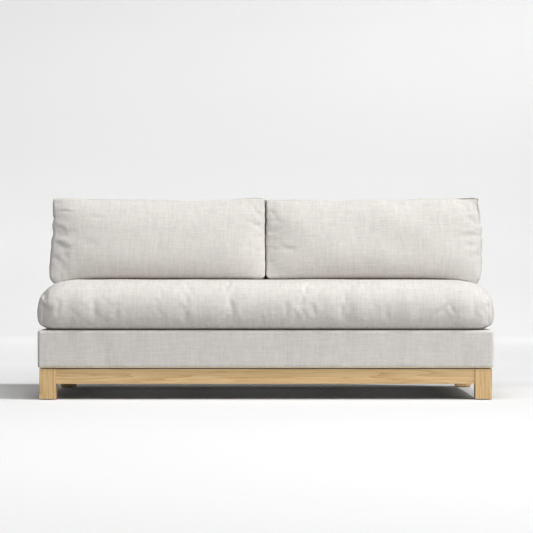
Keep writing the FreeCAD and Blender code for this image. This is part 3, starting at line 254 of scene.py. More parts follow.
def speckled(name, base, scale, amount, rough, metallic=0.0, bump=0.0, stretch=(1, 1, 1), coat=0.0):
    """A plain finish with fine variation in colour, roughness and height."""
    t = Tree(name)
    c = t.scale(t.object_coord(), stretch)
    a = t.noise(c, scale, 3.0, 0.6)
    b = t.noise(c, scale * 0.12, 2.0, 0.5)
    v = t.math("ADD", t.remap(a, 0.3, 0.7, -amount, amount), t.remap(b, 0.3, 0.7, 1 - amount * 0.6, 1 + amount * 0.6))
    t.link(t.times((*base, ), v), t.bsdf.inputs["Base Color"])
    t.link(t.remap(a, 0.3, 0.7, rough - 0.06, rough + 0.06), t.bsdf.inputs["Roughness"])
    t.bsdf.inputs["Metallic"].default_value = metallic
    if coat:
        t.bsdf.inputs["Coat Weight"].default_value = coat
    if bump:
        t.link(t.bump(a, 0.5, bump), t.bsdf.inputs["Normal"])
    return t.mat


def woven(name, base, pitch, rough=0.9, amount=0.25, coord=None):
    """A coarse visible weave, such as webbing or zip tape. pitch is the thread spacing in metres."""
    t = Tree(name)
    c = t.object_coord()
    k = math.pi / pitch / 1.0
    a = t.wave(c, k / 3.14159 * 0.5, "X")
    b = t.wave(c, k / 3.14159 * 0.5, "Z")
    d = t.noise(c, 300, 2.0, 0.6)
    h = t.math("MULTIPLY", a, b)
    v = t.math("ADD", t.remap(h, 0.0, 1.0, 1 - amount, 1.0), t.remap(d, 0.3, 0.7, -0.06, 0.06))
    t.link(t.times((*base, ), v), t.bsdf.inputs["Base Color"])
    t.link(t.bump(h, 0.6, pitch * 0.3), t.bsdf.inputs["Normal"])
    t.link(t.remap(d, 0.3, 0.7, rough - 0.05, rough + 0.05), t.bsdf.inputs["Roughness"])
    return t.mat


FABRIC = (0.610, 0.592, 0.570)
M_LINEN = linen("upholstery_linen", FABRIC)
# the reveal strips are real spacers, but their near-black colour is painted shade: it makes the gap between body and
# base read as a shadow line
M_REVEAL_PAINTED_SHADE = speckled("reveal_black_painted_shade", (0.020, 0.013, 0.009), 240, 0.2, 0.6, bump=0.0003)
M_GLIDE = speckled("glide_nylon", (0.05, 0.05, 0.05), 500, 0.15, 0.5, bump=0.0001)
M_ZINC = speckled("zinc_steel", (0.58, 0.59, 0.60), 350, 0.1, 0.34, metallic=1.0)
M_SPRING = speckled("spring_wire", (0.28, 0.29, 0.30), 400, 0.15, 0.38, metallic=1.0)
M_CLIP = speckled("clip_nylon", (0.75, 0.73, 0.68), 300, 0.06, 0.5)
M_FELT = speckled("felt", (0.22, 0.21, 0.20), 900, 0.4, 0.95, bump=0.0006)
M_FOAM = speckled("foam", (0.74, 0.66, 0.45), 1200, 0.14, 0.95, bump=0.0005)
M_DUST = speckled("dust_cloth", (0.018, 0.018, 0.019), 1400, 0.35, 0.9, bump=0.0003)
M_WEB = woven("webbing", (0.42, 0.34, 0.2), 0.0035)
M_FIBRE = speckled("ticking", (0.85, 0.85, 0.83), 600, 0.05, 0.9, bump=0.0003)
M_TAPE = woven("zip_tape", (0.50, 0.47, 0.42), 0.0012, amount=0.18)
M_THREAD = speckled("sewing_thread", (0.66, 0.64, 0.59), 900, 0.12, 0.7)
M_NICKEL = speckled("zip_metal", (0.62, 0.60, 0.57), 500, 0.1, 0.3, metallic=1.0)


def dress(node, *mats):
    """Gives a CAD node's object its materials."""
    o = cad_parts[node]
    o.data.materials.clear()
    for m in mats:
        o.data.materials.append(m)


seed = 1.0
for n in ("leg_front_left", "leg_front_right", "leg_rear_left", "leg_rear_right"):
    dress(n, wood("ash_" + n, 2, seed))
    seed += 1.37
for n in ("rail_front", "rail_rear"):
    dress(n, wood("ash_" + n, 0, seed))
    seed += 1.37
for n in ("rail_left", "rail_right"):
    dress(n, wood("ash_" + n, 1, seed))
    seed += 1.37
for n, axis in (
    ("base_stretcher_left", 1), ("base_stretcher_right", 1), ("base_corner_braces", 0),
    ("carcass_front_board", 0), ("carcass_rear_board", 0), ("carcass_left_board", 1), ("carcass_right_board", 1),
    ("carcass_cross_braces", 1), ("spring_rail", 0), ("carcass_corner_blocks", 0),
    ("back_posts", 2), ("back_top_rail", 0), ("back_lower_rails", 0),
):
    dress(n, wood("inner_" + n, axis, seed, (0.66, 0.50, 0.31), (0.52, 0.37, 0.20), 0.7))
    seed += 1.37
for n, m in (
    ("reveal_strips", M_REVEAL_PAINTED_SHADE), ("leg_glides", M_GLIDE), ("body_bolts", M_ZINC), ("body_bolt_washers", M_ZINC),
    ("body_bolt_inserts", M_ZINC), ("back_post_bolts", M_ZINC), ("back_post_nuts", M_ZINC), ("back_post_washers", M_ZINC),
    ("seat_springs", M_SPRING), ("spring_tie_wires", M_SPRING), ("spring_clips", M_CLIP), ("spring_insulator", M_FELT),
    ("deck_foam", M_FOAM), ("body_padding", M_FOAM), ("back_padding", M_FOAM), ("seat_foam_core", M_FOAM),
    ("seat_fibre_wrap", M_FIBRE), ("back_cushion_left_fill", M_FIBRE), ("back_cushion_right_fill", M_FIBRE),
    ("back_webbing_upright", M_WEB), ("back_webbing_level", M_WEB), ("dust_cover", M_DUST),
    ("seat_zip", M_TAPE), ("back_cushion_left_zip", M_TAPE), ("back_cushion_right_zip", M_TAPE),
    ("seat_zip_slider", M_NICKEL), ("back_cushion_left_zip_slider", M_NICKEL), ("back_cushion_right_zip_slider", M_NICKEL),
):
    dress(n, m)


# --------------------------------------------------------------------------
# closed skins on a lattice box
# --------------------------------------------------------------------------
def spaced(length, step, fine=()):
    """Places along 0..1 for an edge of the given length: at the fine distances from both ends, where
    the seams run, and evenly about step apart between."""
    head = np.array((0.0,) + tuple(fine))
    inner = length - 2 * head[-1]
    n = max(2, int(round(inner / step)))
    mid = np.linspace(head[-1], length - head[-1], n + 1)
    return np.concatenate([head[:-1], mid, (length - head[:-1])[::-1]]) / length


class Lattice:
    """The surface of a box lattice with places s, t and r along X, Y and Z. Its six sides are
    numbered 0 and 1 for low and high X, 2 and 3 for Y, 4 and 5 for Z."""

    def __init__(self, s, t, r):
        self.places = (s, t, r)
        self.n = tuple(len(p) - 1 for p in self.places)
        nx, ny, nz = self.n
        quads, side = [], []
        for label, (fixed, end, a, b, flip) in enumerate((
            (0, 0, 1, 2, True), (0, 1, 1, 2, False), (1, 0, 0, 2, False),
            (1, 1, 0, 2, True), (2, 0, 0, 1, True), (2, 1, 0, 1, False),
        )):
            ia, ib = np.meshgrid(np.arange(self.n[a]), np.arange(self.n[b]), indexing="ij")
            ia, ib = ia.ravel(), ib.ravel()
            corners = []
            for da, db in ((0, 0), (1, 0), (1, 1), (0, 1)):
                p = np.zeros((len(ia), 3), int)
                p[:, fixed] = self.n[fixed] * end
                p[:, a] = ia + da
                p[:, b] = ib + db
                corners.append(p)
            q = np.stack(corners, 1)
            quads.append(q[:, ::-1] if flip else q)
            side.append(np.full(len(q), label))
        q = np.concatenate(quads)
        self.side = np.concatenate(side)
        key = (q[..., 0] * (ny + 1) + q[..., 1]) * (nz + 1) + q[..., 2]
        uniq, inverse = np.unique(key, return_inverse=True)
        self.faces = inverse.reshape(-1, 4)
        self.ijk = np.stack([uniq // ((nz + 1) * (ny + 1)), (uniq // (nz + 1)) % (ny + 1), uniq % (nz + 1)], 1)
        self.uvw = np.stack([self.places[i][self.ijk[:, i]] for i in range(3)], 1)
        e = np.concatenate([self.faces[:, [i, (i + 1) % 4]] for i in range(4)])
        self.edges = np.unique(np.sort(e, 1), axis=0)
        self.degree = np.bincount(self.edges.ravel(), minlength=len(self.ijk)).astype(float)
        self.index = {k: i for i, k in enumerate(uniq)}
        self._uniq = uniq

    def on(self, axis, end):
        """Which vertices lie on the side at that end (0 or 1) of an axis."""
        return self.ijk[:, axis] == self.n[axis] * end

    def rows(self, ijk):
        """Vertex numbers for lattice places."""
        ny, nz = self.n[1], self.n[2]
        key = (ijk[..., 0] * (ny + 1) + ijk[..., 1]) * (nz + 1) + ijk[..., 2]
        return np.searchsorted(self._uniq, key)

    def sheet(self, side):
        """Vertex numbers of one side, as a grid, with the two axes that it runs along."""
        fixed, end = divmod(side, 2)
        a, b = [i for i in range(3) if i != fixed]
        ia, ib = np.meshgrid(np.arange(self.n[a] + 1), np.arange(self.n[b] + 1), indexing="ij")
        g = np.zeros(ia.shape + (3,), int)
        g[..., fixed] = self.n[fixed] * end
        g[..., a], g[..., b] = ia, ib
        return self.rows(g), a, b

    def spread(self, values, rounds, hold=None, amount=0.7):
        """Diffuses values over the skin. hold, 0..1, keeps points as they are."""
        e, deg = self.edges, self.degree[:, None]
        v = values.copy()
        w = amount if hold is None else (amount * (1 - hold))[:, None]
        for _ in range(rounds):
            s = np.empty_like(v)
            for c in range(v.shape[1]):
                s[:, c] = np.bincount(e[:, 0], v[e[:, 1], c], len(v)) + np.bincount(e[:, 1], v[e[:, 0], c], len(v))
            v = v + w * (s / deg - v)
        return v

    def normals(self, co):
        a, b, c, d = (co[self.faces[:, i]] for i in range(4))
        fn = np.cross(c - a, d - b)
        vn = np.zeros_like(co)
        for k in range(3):
            for i in range(4):
                vn[:, k] += np.bincount(self.faces[:, i], fn[:, k], len(co))
        return vn / np.maximum(np.linalg.norm(vn, axis=1, keepdims=True), 1e-12)

    def carry(self, co, finer):
        """Takes a shape on this lattice to a finer one, with cubic curves along both ways of each side."""
        out = np.zeros((len(finer.ijk), 3))
        for side in range(6):
            g, a, b = self.sheet(side)
            h, _, _ = finer.sheet(side)
            p = co[g]
            p = cubic(self.places[a], p, finer.places[a], 0)
            p = cubic(self.places[b], p, finer.places[b], 1)
            out[h] = p
        return out


def cubic(x, y, at, axis):
    """Cubic Hermite interpolation of y, sampled at x along an axis."""
    y = np.moveaxis(y, axis, 0)
    h = np.diff(x)
    d = np.diff(y, axis=0) / h.reshape((-1,) + (1,) * (y.ndim - 1))
    m = np.empty_like(y)
    m[1:-1] = (d[:-1] + d[1:]) / 2
    m[0], m[-1] = d[0], d[-1]
    i = np.clip(np.searchsorted(x, at, side="right") - 1, 0, len(h) - 1)
    shape = (-1,) + (1,) * (y.ndim - 1)
    u = ((at - x[i]) / h[i]).reshape(shape)
    hh = h[i].reshape(shape)
    r = (
        (2 * u**3 - 3 * u**2 + 1) * y[i] + (u**3 - 2 * u**2 + u) * hh * m[i]
        + (-2 * u**3 + 3 * u**2) * y[i + 1] + (u**3 - u**2) * hh * m[i + 1]
    )
    return np.moveaxis(r, 0, axis)


def curve(x, table):
    """A smooth curve through (x, y) pairs that doesn't overshoot."""
    xs = np.array([p[0] for p in table], float)
    ys = np.array([p[1] for p in table], float)
    x = np.clip(x, xs[0], xs[-1])
    h = np.diff(xs)
    d = np.diff(ys) / h
    m = np.zeros(len(xs))
    s = d[:-1] + d[1:]
    m[1:-1] = np.where(d[:-1] * d[1:] > 0, 2 * d[:-1] * d[1:] / np.where(s == 0, 1, s), 0)
    m[0], m[-1] = d[0], d[-1]
    i = np.clip(np.searchsorted(xs, x) - 1, 0, len(h) - 1)
    u = (x - xs[i]) / h[i]
    return (
        (2 * u**3 - 3 * u**2 + 1) * ys[i] + (u**3 - 2 * u**2 + u) * h[i] * m[i]
        + (-2 * u**3 + 3 * u**2) * ys[i + 1] + (u**3 - u**2) * h[i] * m[i + 1]
    )


def smooth(x, a, b):
    u = np.clip((x - a) / (b - a), 0, 1)
    return u * u * (3 - 2 * u)


def ripple(x, seed, count=7, low=1.0, high=6.0):
    """Smooth one-dimensional noise of about unit size, from waves of low to high cycles per unit."""
    rng = np.random.RandomState(seed)
    y = np.zeros_like(x, float)
    for _ in range(count):
        f = rng.uniform(low, high)
        y += np.sin(2 * np.pi * (f * x + rng.rand())) / math.sqrt(count / 2)
    return y


def mesh_object(name, co, faces, soft=True):
    me = bpy.data.meshes.new(name)
    co = np.ascontiguousarray(co, dtype=np.float32)
    faces = np.asarray(faces, dtype=np.int32)
    k = faces.shape[1]
    me.vertices.add(len(co))
    me.vertices.foreach_set("co", co.ravel())
    me.loops.add(len(faces) * k)
    me.loops.foreach_set("vertex_index", faces.ravel())
    me.polygons.add(len(faces))
    me.polygons.foreach_set("loop_start", np.arange(0, len(faces) * k, k, dtype=np.int32))
    if soft:
        me.polygons.foreach_set("use_smooth", np.ones(len(faces), bool))
    me.update(calc_edges=True)
    me.validate()
    o = bpy.data.objects.new(name, me)
    COLL.objects.link(o)
    return o


def weave_layer(o, L, co, first, keep=None):
    """Writes each side's own coordinates, in metres, to the corner attribute "weave": x along the
    weft, y along the warp, z a number of its own. keep says which faces the mesh has."""
    arc = []
    for axis in range(3):
        n = L.n[axis]
        total, count = np.zeros(n), 0
        for side in range(6):
            g, a, b = L.sheet(side)
            if axis in (a, b):
                p = co[g] if axis == a else np.swapaxes(co[g], 0, 1)
                total += np.linalg.norm(np.diff(p, axis=0), axis=2).mean(1)
                count += 1
        arc.append(np.concatenate([[0], np.cumsum(total / count)]))
    faces = L.faces if keep is None else L.faces[keep]
    side = L.side if keep is None else L.side[keep]
    data = np.zeros((len(faces), 4, 3))
    for number in range(6):
        f = side == number
        fixed = number // 2
        a, b = [i for i in range(3) if i != fixed]
        place = L.ijk[faces[f]]
        data[f, :, 0] = arc[a][place[..., a]]
        data[f, :, 1] = arc[b][place[..., b]]
        data[f, :, 2] = first + number
    attr = o.data.attributes.new("weave", "FLOAT_VECTOR", "CORNER")
    attr.data.foreach_set("vector", data.ravel())


# --------------------------------------------------------------------------
# cloth: a closed skin pressed out from inside, held lightly to its pattern
# --------------------------------------------------------------------------
def assign(o, name, weights, levels=40):
    g = o.vertex_groups.new(name=name)
    q = np.round(np.clip(weights, 0, 1) * levels).astype(int)
    for k in np.unique(q):
        g.add([int(i) for i in np.where(q == k)[0]], k / levels, "REPLACE")
    return g


def press_out(L, co, hold, seam, pressure, grow, gather, frames=20, tension=12.0, bend=0.4):
    """Cloth simulation of the skin. hold pulls points to their place, seam marks the sewn edges,
    which gather by that much while the panels are cut larger by grow."""
    o = mesh_object("cloth_work", co, L.faces)
    assign(o, "hold", hold)
    assign(o, "seam", seam)
    m = o.modifiers.new("cloth", "CLOTH")
    c = m.settings
    c.quality = 6
    c.mass = 0.25
    c.air_damping = 3.0
    c.tension_stiffness = tension
    c.compression_stiffness = tension
    c.shear_stiffness = tension * 0.35
    c.tension_damping = c.compression_damping = c.shear_damping = 8.0
    c.bending_stiffness = bend
    c.bending_damping = 1.0
    c.use_pressure = True
    c.uniform_pressure_force = pressure
    c.vertex_group_mass = "hold"
    c.pin_stiffness = 1.0
    c.vertex_group_shrink = "seam"
    c.shrink_min = -grow
    c.shrink_max = gather
    c.effector_weights.gravity = 0.0
    m.collision_settings.use_collision = False
    m.point_cache.frame_start = 1
    m.point_cache.frame_end = frames
    scene = bpy.context.scene
    for f in range(1, frames + 1):
        scene.frame_set(f)
    dg = bpy.context.evaluated_depsgraph_get()
    e = o.evaluated_get(dg)
    me = e.to_mesh()
    out = np.zeros(len(me.vertices) * 3, np.float32)
    me.vertices.foreach_get("co", out)
    e.to_mesh_clear()
    data = o.data
    bpy.data.objects.remove(o)
    bpy.data.meshes.remove(data)
    scene.frame_set(1)
    return out.reshape(-1, 3).astype(float)


def blend_cloth(L, start, pressed, rounds, broad, fine, cap):
    """Splits what the cloth did into its broad swell and its creases, and keeps some of each."""
    move = pressed - start
    wide = L.spread(move, rounds)
    size = np.linalg.norm(wide, axis=1, keepdims=True)
    wide = wide * np.minimum(1, cap / np.maximum(size, 1e-9))
    return start + wide * broad + (move - L.spread(move, rounds)) * fine


def edge_rows(L, axis_a, end_a, axis_b, end_b):
    """Distance in lattice steps from one box edge, on the two sides that meet there; 999 elsewhere."""
    da = L.ijk[:, axis_a] if end_a == 0 else L.n[axis_a] - L.ijk[:, axis_a]
    db = L.ijk[:, axis_b] if end_b == 0 else L.n[axis_b] - L.ijk[:, axis_b]
    d = np.full(len(L.ijk), 999)
    d = np.where(da == 0, np.minimum(d, db), d)
    d = np.where(db == 0, np.minimum(d, da), d)
    return d


def edge_measure(L, co, axis_a, end_a, axis_b, end_b):
    """For one seam: each point's distance to it over the skin in metres, and its place along the seam."""
    run = [i for i in range(3) if i not in (axis_a, axis_b)][0]
    dist = np.full(len(co), 9.0)
    for fixed, end, other, oend in ((axis_a, end_a, axis_b, end_b), (axis_b, end_b, axis_a, end_a)):
        g, a, b = L.sheet(fixed * 2 + end)
        p = co[g]
        if other == a:
            p, gg = p, g
        else:
            p, gg = np.swapaxes(p, 0, 1), g.T
        if oend == 1:
            p, gg = p[::-1], gg[::-1]
        steps = np.linalg.norm(np.diff(p, axis=0), axis=2)
        d = np.concatenate([np.zeros((1, steps.shape[1])), np.cumsum(steps, 0)])
        dist[gg] = np.minimum(dist[gg], d)
    m = np.zeros((L.n[run] + 1, 3), int)
    m[:, axis_a] = L.n[axis_a] * end_a
    m[:, axis_b] = L.n[axis_b] * end_b
    m[:, run] = np.arange(L.n[run] + 1)
    line = co[L.rows(m)]
    along = np.concatenate([[0], np.cumsum(np.linalg.norm(np.diff(line, axis=0), axis=1))])
    return dist, along[L.ijk[:, run]], along[-1]


def seam_groove(L, co, seams, depth=0.0022, width=0.0045, lip=0.0006):
    """Draws each sewn edge in, with a slight lip of fabric on both sides of it."""
    nrm = L.normals(co)
    out = np.zeros(len(co))
    for s in seams:
        d, _, _ = edge_measure(L, co, *s)
        v = -depth * np.exp(-((d / width) ** 2)) + lip * np.exp(-(((d - 2.0 * width) / width) ** 2))
        out = np.where(np.abs(v) > np.abs(out), v, out)
    return co + nrm * out[:, None]


def puckers(L, co, seam, seed, spacing=0.020, reach=(0.015, 0.075), size=(0.0006, 0.0022), width=(0.0035, 0.0085), lean=0.25, within=(0.0, 1.0), weight=None):
    """Short creases that run off a seam on both of its sides, at uneven places."""
    rng = np.random.RandomState(seed)
    d, a, total = edge_measure(L, co, *seam)
    nrm = L.normals(co)
    out = np.zeros(len(co))
    at = within[0] * total
    near = d < reach[1] * 1.05
    dn, an = d[near], a[near]
    side = L.on(seam[0], seam[1])[near]
    acc = np.zeros(len(dn))
    while at < within[1] * total:
        at += spacing * rng.uniform(0.45, 1.6)
        for which in (0, 1):
            w = rng.uniform(*width)
            l = reach[0] + (reach[1] - reach[0]) * rng.rand() ** 2
            h = rng.uniform(*size) * rng.choice((-1.0, -1.0, 1.0))
            slope = rng.normal(0, lean)
            bow = rng.normal(0, 2.0)
            c = at + rng.normal(0, 0.003)
            u = (an - c - slope * dn - bow * dn * dn) / (w * (0.8 + 1.2 * dn / l))
            v = h * np.exp(-u * u) * np.clip(1 - dn / l, 0, 1) ** 1.3 * smooth(dn, -0.002, 0.004)
            acc += np.where(side == bool(which), v, 0)
    out[near] = acc
    if weight is not None:
        out = out * weight
    return co + nrm * out[:, None]


def fold(co, nrm, path, width, depth, lip=0.6, ends=0.35, mask=None, axes=(0, 2)):
    """One crease along a path of points given in the two axes, a valley with a ridge on its left."""
    q = np.array(path, float)
    p = co[:, list(axes)]
    best = np.full(len(p), 9.0)
    signed = np.zeros(len(p))
    place = np.zeros(len(p))
    seg = np.linalg.norm(np.diff(q, axis=0), axis=1)
    start = np.concatenate([[0], np.cumsum(seg)])
    for i in range(len(seg)):
        t = (q[i + 1] - q[i]) / seg[i]
        r = p - q[i]
        s = np.clip(r @ t, 0, seg[i])
        off = r - s[:, None] * t
        dd = np.linalg.norm(off, axis=1)
        better = dd < best
        best = np.where(better, dd, best)
        sg = np.sign(t[0] * r[:, 1] - t[1] * r[:, 0])
        signed = np.where(better, dd * sg, signed)
        place = np.where(better, (start[i] + s) / start[-1], place)
    u = signed / width
    shape = -np.exp(-u * u) + lip * np.exp(-(((u - 1.7) / 1.3) ** 2))
    fade = smooth(place, 0, ends) * smooth(1 - place, 0, ends)
    fade = fade * np.exp(-np.clip(best - 4.5 * width, 0, None) / width)
    v = depth * shape * fade
    if mask is not None:
        v = v * mask
    return co + nrm * v[:, None]


FINE = (0.0012, 0.0028, 0.0050, 0.0080, 0.0120)


# --------------------------------------------------------------------------
# bench seat cushion
# --------------------------------------------------------------------------
SEAT_TOP, SEAT_LOW = 0.4890, 0.2868
SEAT_FRONT, SEAT_REAR = -0.520, 0.3762
SEAT_MID = 0.364          # height of the fullest part of the front
SEAM_X = 0.915            # where the end seams run


def crown_fall(x):
    """How far the top of the seat cushion has dropped towards an end."""
    return 0.038 * np.clip((np.abs(x) - 0.630) / (SEAM_X - 0.630), 0, 1) ** 5.2


def seat_section():
    """The cushion's section from the lower front over the top to the lower rear, as points (y, z).
    The front rolls over in one large curve; the rear is boxed."""
    def quarter(cy, cz, a, b, n, q0, q1, count=300):
        w = np.linspace(q0, q1, count)
        c, s = np.cos(w), np.sin(w)
        return np.stack([cy + a * np.sign(c) * np.abs(c) ** (2 / n), cz + b * np.sign(s) * np.abs(s) ** (2 / n)], 1)

    down = quarter(SEAT_FRONT + 0.062, SEAT_MID, 0.062, SEAT_MID - SEAT_LOW, 2.55, 3 * math.pi / 2, math.pi)
    up = quarter(SEAT_FRONT + 0.125, SEAT_MID, 0.125, SEAT_TOP - SEAT_MID, 2.3, math.pi, math.pi / 2)
    rear_up = quarter(SEAT_REAR - 0.030, 0.452, 0.030, SEAT_TOP - 0.452, 2.2, math.pi / 2, 0)
    rear_down = quarter(SEAT_REAR - 0.030, 0.326, 0.030, 0.326 - SEAT_LOW, 2.2, 0, -math.pi / 2)
    loop = np.concatenate([down, up[1:], rear_up, rear_down])
    return loop, np.concatenate([[0], np.cumsum(np.linalg.norm(np.diff(loop, axis=0), axis=1))])


def seat_shape(step, fine):
    loop, d = seat_section()

    def place(y, z):
        return d[np.argmin(np.hypot(loop[:, 0] - y, loop[:, 1] - z))]

    c_fb = place(SEAT_FRONT + 0.016, 0.303)
    c_ft = place(SEAT_FRONT + 0.036, 0.452)
    c_rt = place(SEAT_REAR - 0.008, 0.479)
    c_rb = place(SEAT_REAR - 0.008, 0.297)
    L = Lattice(spaced(2 * SEAM_X, step, fine), spaced(c_rt - c_ft, step, ()), spaced(c_ft - c_fb, step, ()))
    S, T, R = L.uvw.T

    def run(at):
        return np.stack([np.interp(at, d, loop[:, i]) for i in range(2)], -1)

    def front(v):
        return run(c_fb + v * (c_ft - c_fb))

    def over(v):
        return run(c_ft + v * (c_rt - c_ft))

    def rear(v):
        return run(c_rb + v * (c_rt - c_rb))

    lead, tail = loop[d <= c_fb][::-1], loop[d >= c_rb][::-1]
    flat = np.stack([np.linspace(lead[-1, 0], tail[0, 0], 400), np.full(400, SEAT_LOW)], 1)[1:-1]
    low = np.concatenate([lead, flat, tail])
    dl = np.concatenate([[0], np.cumsum(np.linalg.norm(np.diff(low, axis=0), axis=1))])

    def under(v):
        return np.stack([np.interp(v * dl[-1], dl, low[:, i]) for i in range(2)], -1)

    def facing(f, v, sign):
        e = 2e-3
        g = f(np.clip(v + e, 0, 1)) - f(np.clip(v - e, 0, 1))
        n = np.stack([-g[:, 1], g[:, 0]], 1) * sign
        return n / np.maximum(np.linalg.norm(n, axis=1, keepdims=True), 1e-9)

    yz = np.zeros((len(S), 2))
    n2 = np.zeros((len(S), 2))
    for mask, f, v, sign in (
        (L.on(2, 1), over, T, 1), (L.on(2, 0), under, T, -1), (L.on(1, 1), rear, R, -1), (L.on(1, 0), front, R, 1),
    ):
        yz[mask] = f(v[mask])
        n2[mask] = facing(f, v[mask], sign)
    ax = np.abs((2 * S - 1) * SEAM_X)
    X = (2 * S - 1) * SEAM_X
    up, dn = np.clip(n2[:, 1], 0, 1) ** 2, np.clip(-n2[:, 1], 0, 1) ** 2
    fr, re = np.clip(-n2[:, 0], 0, 1) ** 2, np.clip(n2[:, 0], 0, 1) ** 2

    def q(x0, k):
        return np.clip((ax - x0) / (SEAM_X - x0), 0, 1) ** k

    inset = up * crown_fall(ax) + fr * q(0.780, 3.4) * 0.026 + re * q(0.850, 3.0) * 0.014 + dn * q(0.855, 3.0) * 0.0095
    yz = yz - n2 * inset[:, None]
    # the end panels fill their outlines, and belly out, fullest below the middle
    for end in (0, 1):
        g, _, _ = L.sheet(end)
        e = yz[g]
        tt, rr = np.meshgrid(L.places[1], L.places[2], indexing="ij")
        tt, rr = tt[..., None], rr[..., None]
        fill = (
            (1 - tt) * e[0][None] + tt * e[-1][None] + (1 - rr) * e[:, 0][:, None] + rr * e[:, -1][:, None]
            - (1 - tt) * (1 - rr) * e[0, 0] - (1 - tt) * rr * e[0, -1] - tt * (1 - rr) * e[-1, 0] - tt * rr * e[-1, -1]
        )
        yz[g[1:-1, 1:-1]] = fill[1:-1, 1:-1]
    z = yz[:, 1]
    belly = np.where(z > 0.350, 1 - np.clip((z - 0.350) / 0.101, 0, 1) ** 2.7, 1 - np.clip((0.350 - z) / 0.056, 0, 1) ** 5.0)
    out = 0.0262 * belly * (1 - np.abs(2 * T - 1) ** 14)
    end = L.on(0, 0) | L.on(0, 1)
    X = np.where(end, X + np.sign(X) * out, X)
    return L, np.stack([X, yz[:, 0], yz[:, 1]], 1)


def top_of_seat(x):
    return SEAT_TOP - crown_fall(x)


SEAT_SEAMS = [(0, e, a, b) for e in (0, 1) for a, b in ((1, 0), (1, 1), (2, 0), (2, 1))]


def make_seat():
    L0, rough = seat_shape(0.0125, ())
    x, y, z = rough.T
    seam = np.zeros(len(x))
    for s in SEAT_SEAMS:
        seam = np.maximum(seam, np.where(edge_rows(L0, *s) <= 1, 1.0, 0.0))
    # the foam holds the top, underside and rear; the ends and the front roll are softer
    hold = np.full(len(x), 0.55)
    soft = np.maximum(smooth(-y, 0.25, 0.44), smooth(np.abs(x), 0.80, 0.90))
    hold = hold * (1 - 0.85 * soft)
    hold = np.where(z < SEAT_LOW + 0.004, 0.9, hold)
    hold = np.where(y > SEAT_REAR - 0.006, 0.9, hold)
    pressed = press_out(L0, rough, hold, seam, 3.0, 0.016, 0.035)
    co = blend_cloth(L0, rough, pressed, 60, 0.12, 0.45, 0.010)
    L, base = seat_shape(0.0065, FINE)
    # the creases are taken over as a move, so the seams stay where the fine shape has them
    co = base + L0.carry(co - rough, L)
    return L, co, base


L, co, base = make_seat()
x, y, z = co.T
nrm = L.normals(base)
T = L.uvw[:, 1]
# the wrap's loose fibre lets the front ripple up and down the roll
facing_front = np.clip(-nrm[:, 1], 0, 1)
body_of_roll = facing_front ** 1.2 * smooth(z, 0.292, 0.335) * (1 - 0.55 * smooth(z, 0.42, 0.485))
wander = 0.012 * ripple(z * 6.0, 5, 4, 0.4, 1.2)
vert = ripple(x * 1.0 + wander, 11, 11, 3.0, 9.5)
patch = 0.55 + 0.45 * ripple(x * 1.0 + 0.3, 12, 5, 0.4, 1.7)
co = co + nrm * (0.0021 * vert * np.clip(patch, 0.1, 1.4) * body_of_roll)[:, None]
co = co + nrm * (0.0012 * ripple(x + 0.6 * y, 13, 8, 0.7, 2.6) * ripple(y - 0.3 * x, 14, 6, 0.8, 3.0) * (1 - smooth(y, 0.10, 0.16)) * np.clip(nrm[:, 2], 0, 1))[:, None]
front = (facing_front > 0.05).astype(float)
for path, width, depth in (
    # x and z in metres, seen from the front
    (((0.704, 0.352), (0.735, 0.385), (0.748, 0.402)), 0.0075, 0.0042),
    (((0.773, 0.345), (0.760, 0.375), (0.748, 0.400)), 0.0070, 0.0036),
    (((0.180, 0.405), (0.196, 0.372), (0.200, 0.340)), 0.010, 0.0028),
    (((0.076, 0.415), (0.085, 0.375), (0.080, 0.330)), 0.012, 0.0030),
    (((0.300, 0.400), (0.312, 0.360), (0.318, 0.325)), 0.010, 0.0026),
    (((-0.705, 0.425), (-0.700, 0.380), (-0.706, 0.325)), 0.013, 0.0030),
    (((-0.600, 0.415), (-0.612, 0.370), (-0.604, 0.320)), 0.012, 0.0024),
    (((-0.330, 0.400), (-0.322, 0.355), (-0.326, 0.315)), 0.012, 0.0024),
    (((-0.130, 0.412), (-0.138, 0.370), (-0.132, 0.325)), 0.012, 0.0026),
    (((0.500, 0.405), (0.492, 0.362), (0.498, 0.320)), 0.012, 0.0024),
    (((0.860, 0.430), (0.852, 0.385), (0.858, 0.330)), 0.010, 0.0028),
    (((-0.855, 0.430), (-0.848, 0.390), (-0.856, 0.330)), 0.010, 0.0028),
):
    co = fold(co, nrm, path, width, depth, mask=front)
for k, s in enumerate(SEAT_SEAMS):
    co = puckers(L, co, s, 30 + k, 0.019, (0.012, 0.060), (0.0006, 0.0020), (0.0035, 0.0080))
co = seam_groove(L, co, SEAT_SEAMS)
# it lies flat on the deck, and keeps clear of what stands on it and behind it
co[:, 2] = np.maximum(co[:, 2], SEAT_LOW)
co[:, 2] = np.where(co[:, 1] > 0.150, np.minimum(co[:, 2], top_of_seat(co[:, 0])), co[:, 2])
co[:, 1] = np.minimum(co[:, 1], 0.3775)


def skin(name, L, co, number, body, *replaced, fill=0.8, keep=None):
    faces = L.faces if keep is None else L.faces[keep]
    o = mesh_object(name, co, faces)
    weave_layer(o, L, co, number, keep)
    o.data.materials.append(M_LINEN)
    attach(o, body)
    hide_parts(*replaced)
    return o


def lining(name, L, co, coarse, depth, body, slot, mat, *replaced):
    """What fills a skin: the same closed form on a coarser lattice, smoothed and set in by that depth."""
    inner = coarse.spread(L.carry(co, coarse), 4)
    inner = inner - coarse.normals(inner) * depth
    o = mesh_object(name, inner, coarse.faces)
    o.data.materials.append(mat)
    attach(o, body)
    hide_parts(*replaced)
    return o


skin("seat_cushion_linen", L, co, 1, "seat_cushion", "seat_cushion_cover", fill=0.85)
lining("seat_cushion_wrap", L, co, seat_shape(0.02, ())[0], 0.007, "seat_cushion", "fibre", M_FIBRE, "seat_fibre_wrap")
lining("seat_cushion_core", L, co, seat_shape(0.03, ())[0], 0.022, "seat_cushion", "foam", M_FOAM, "seat_foam_core")


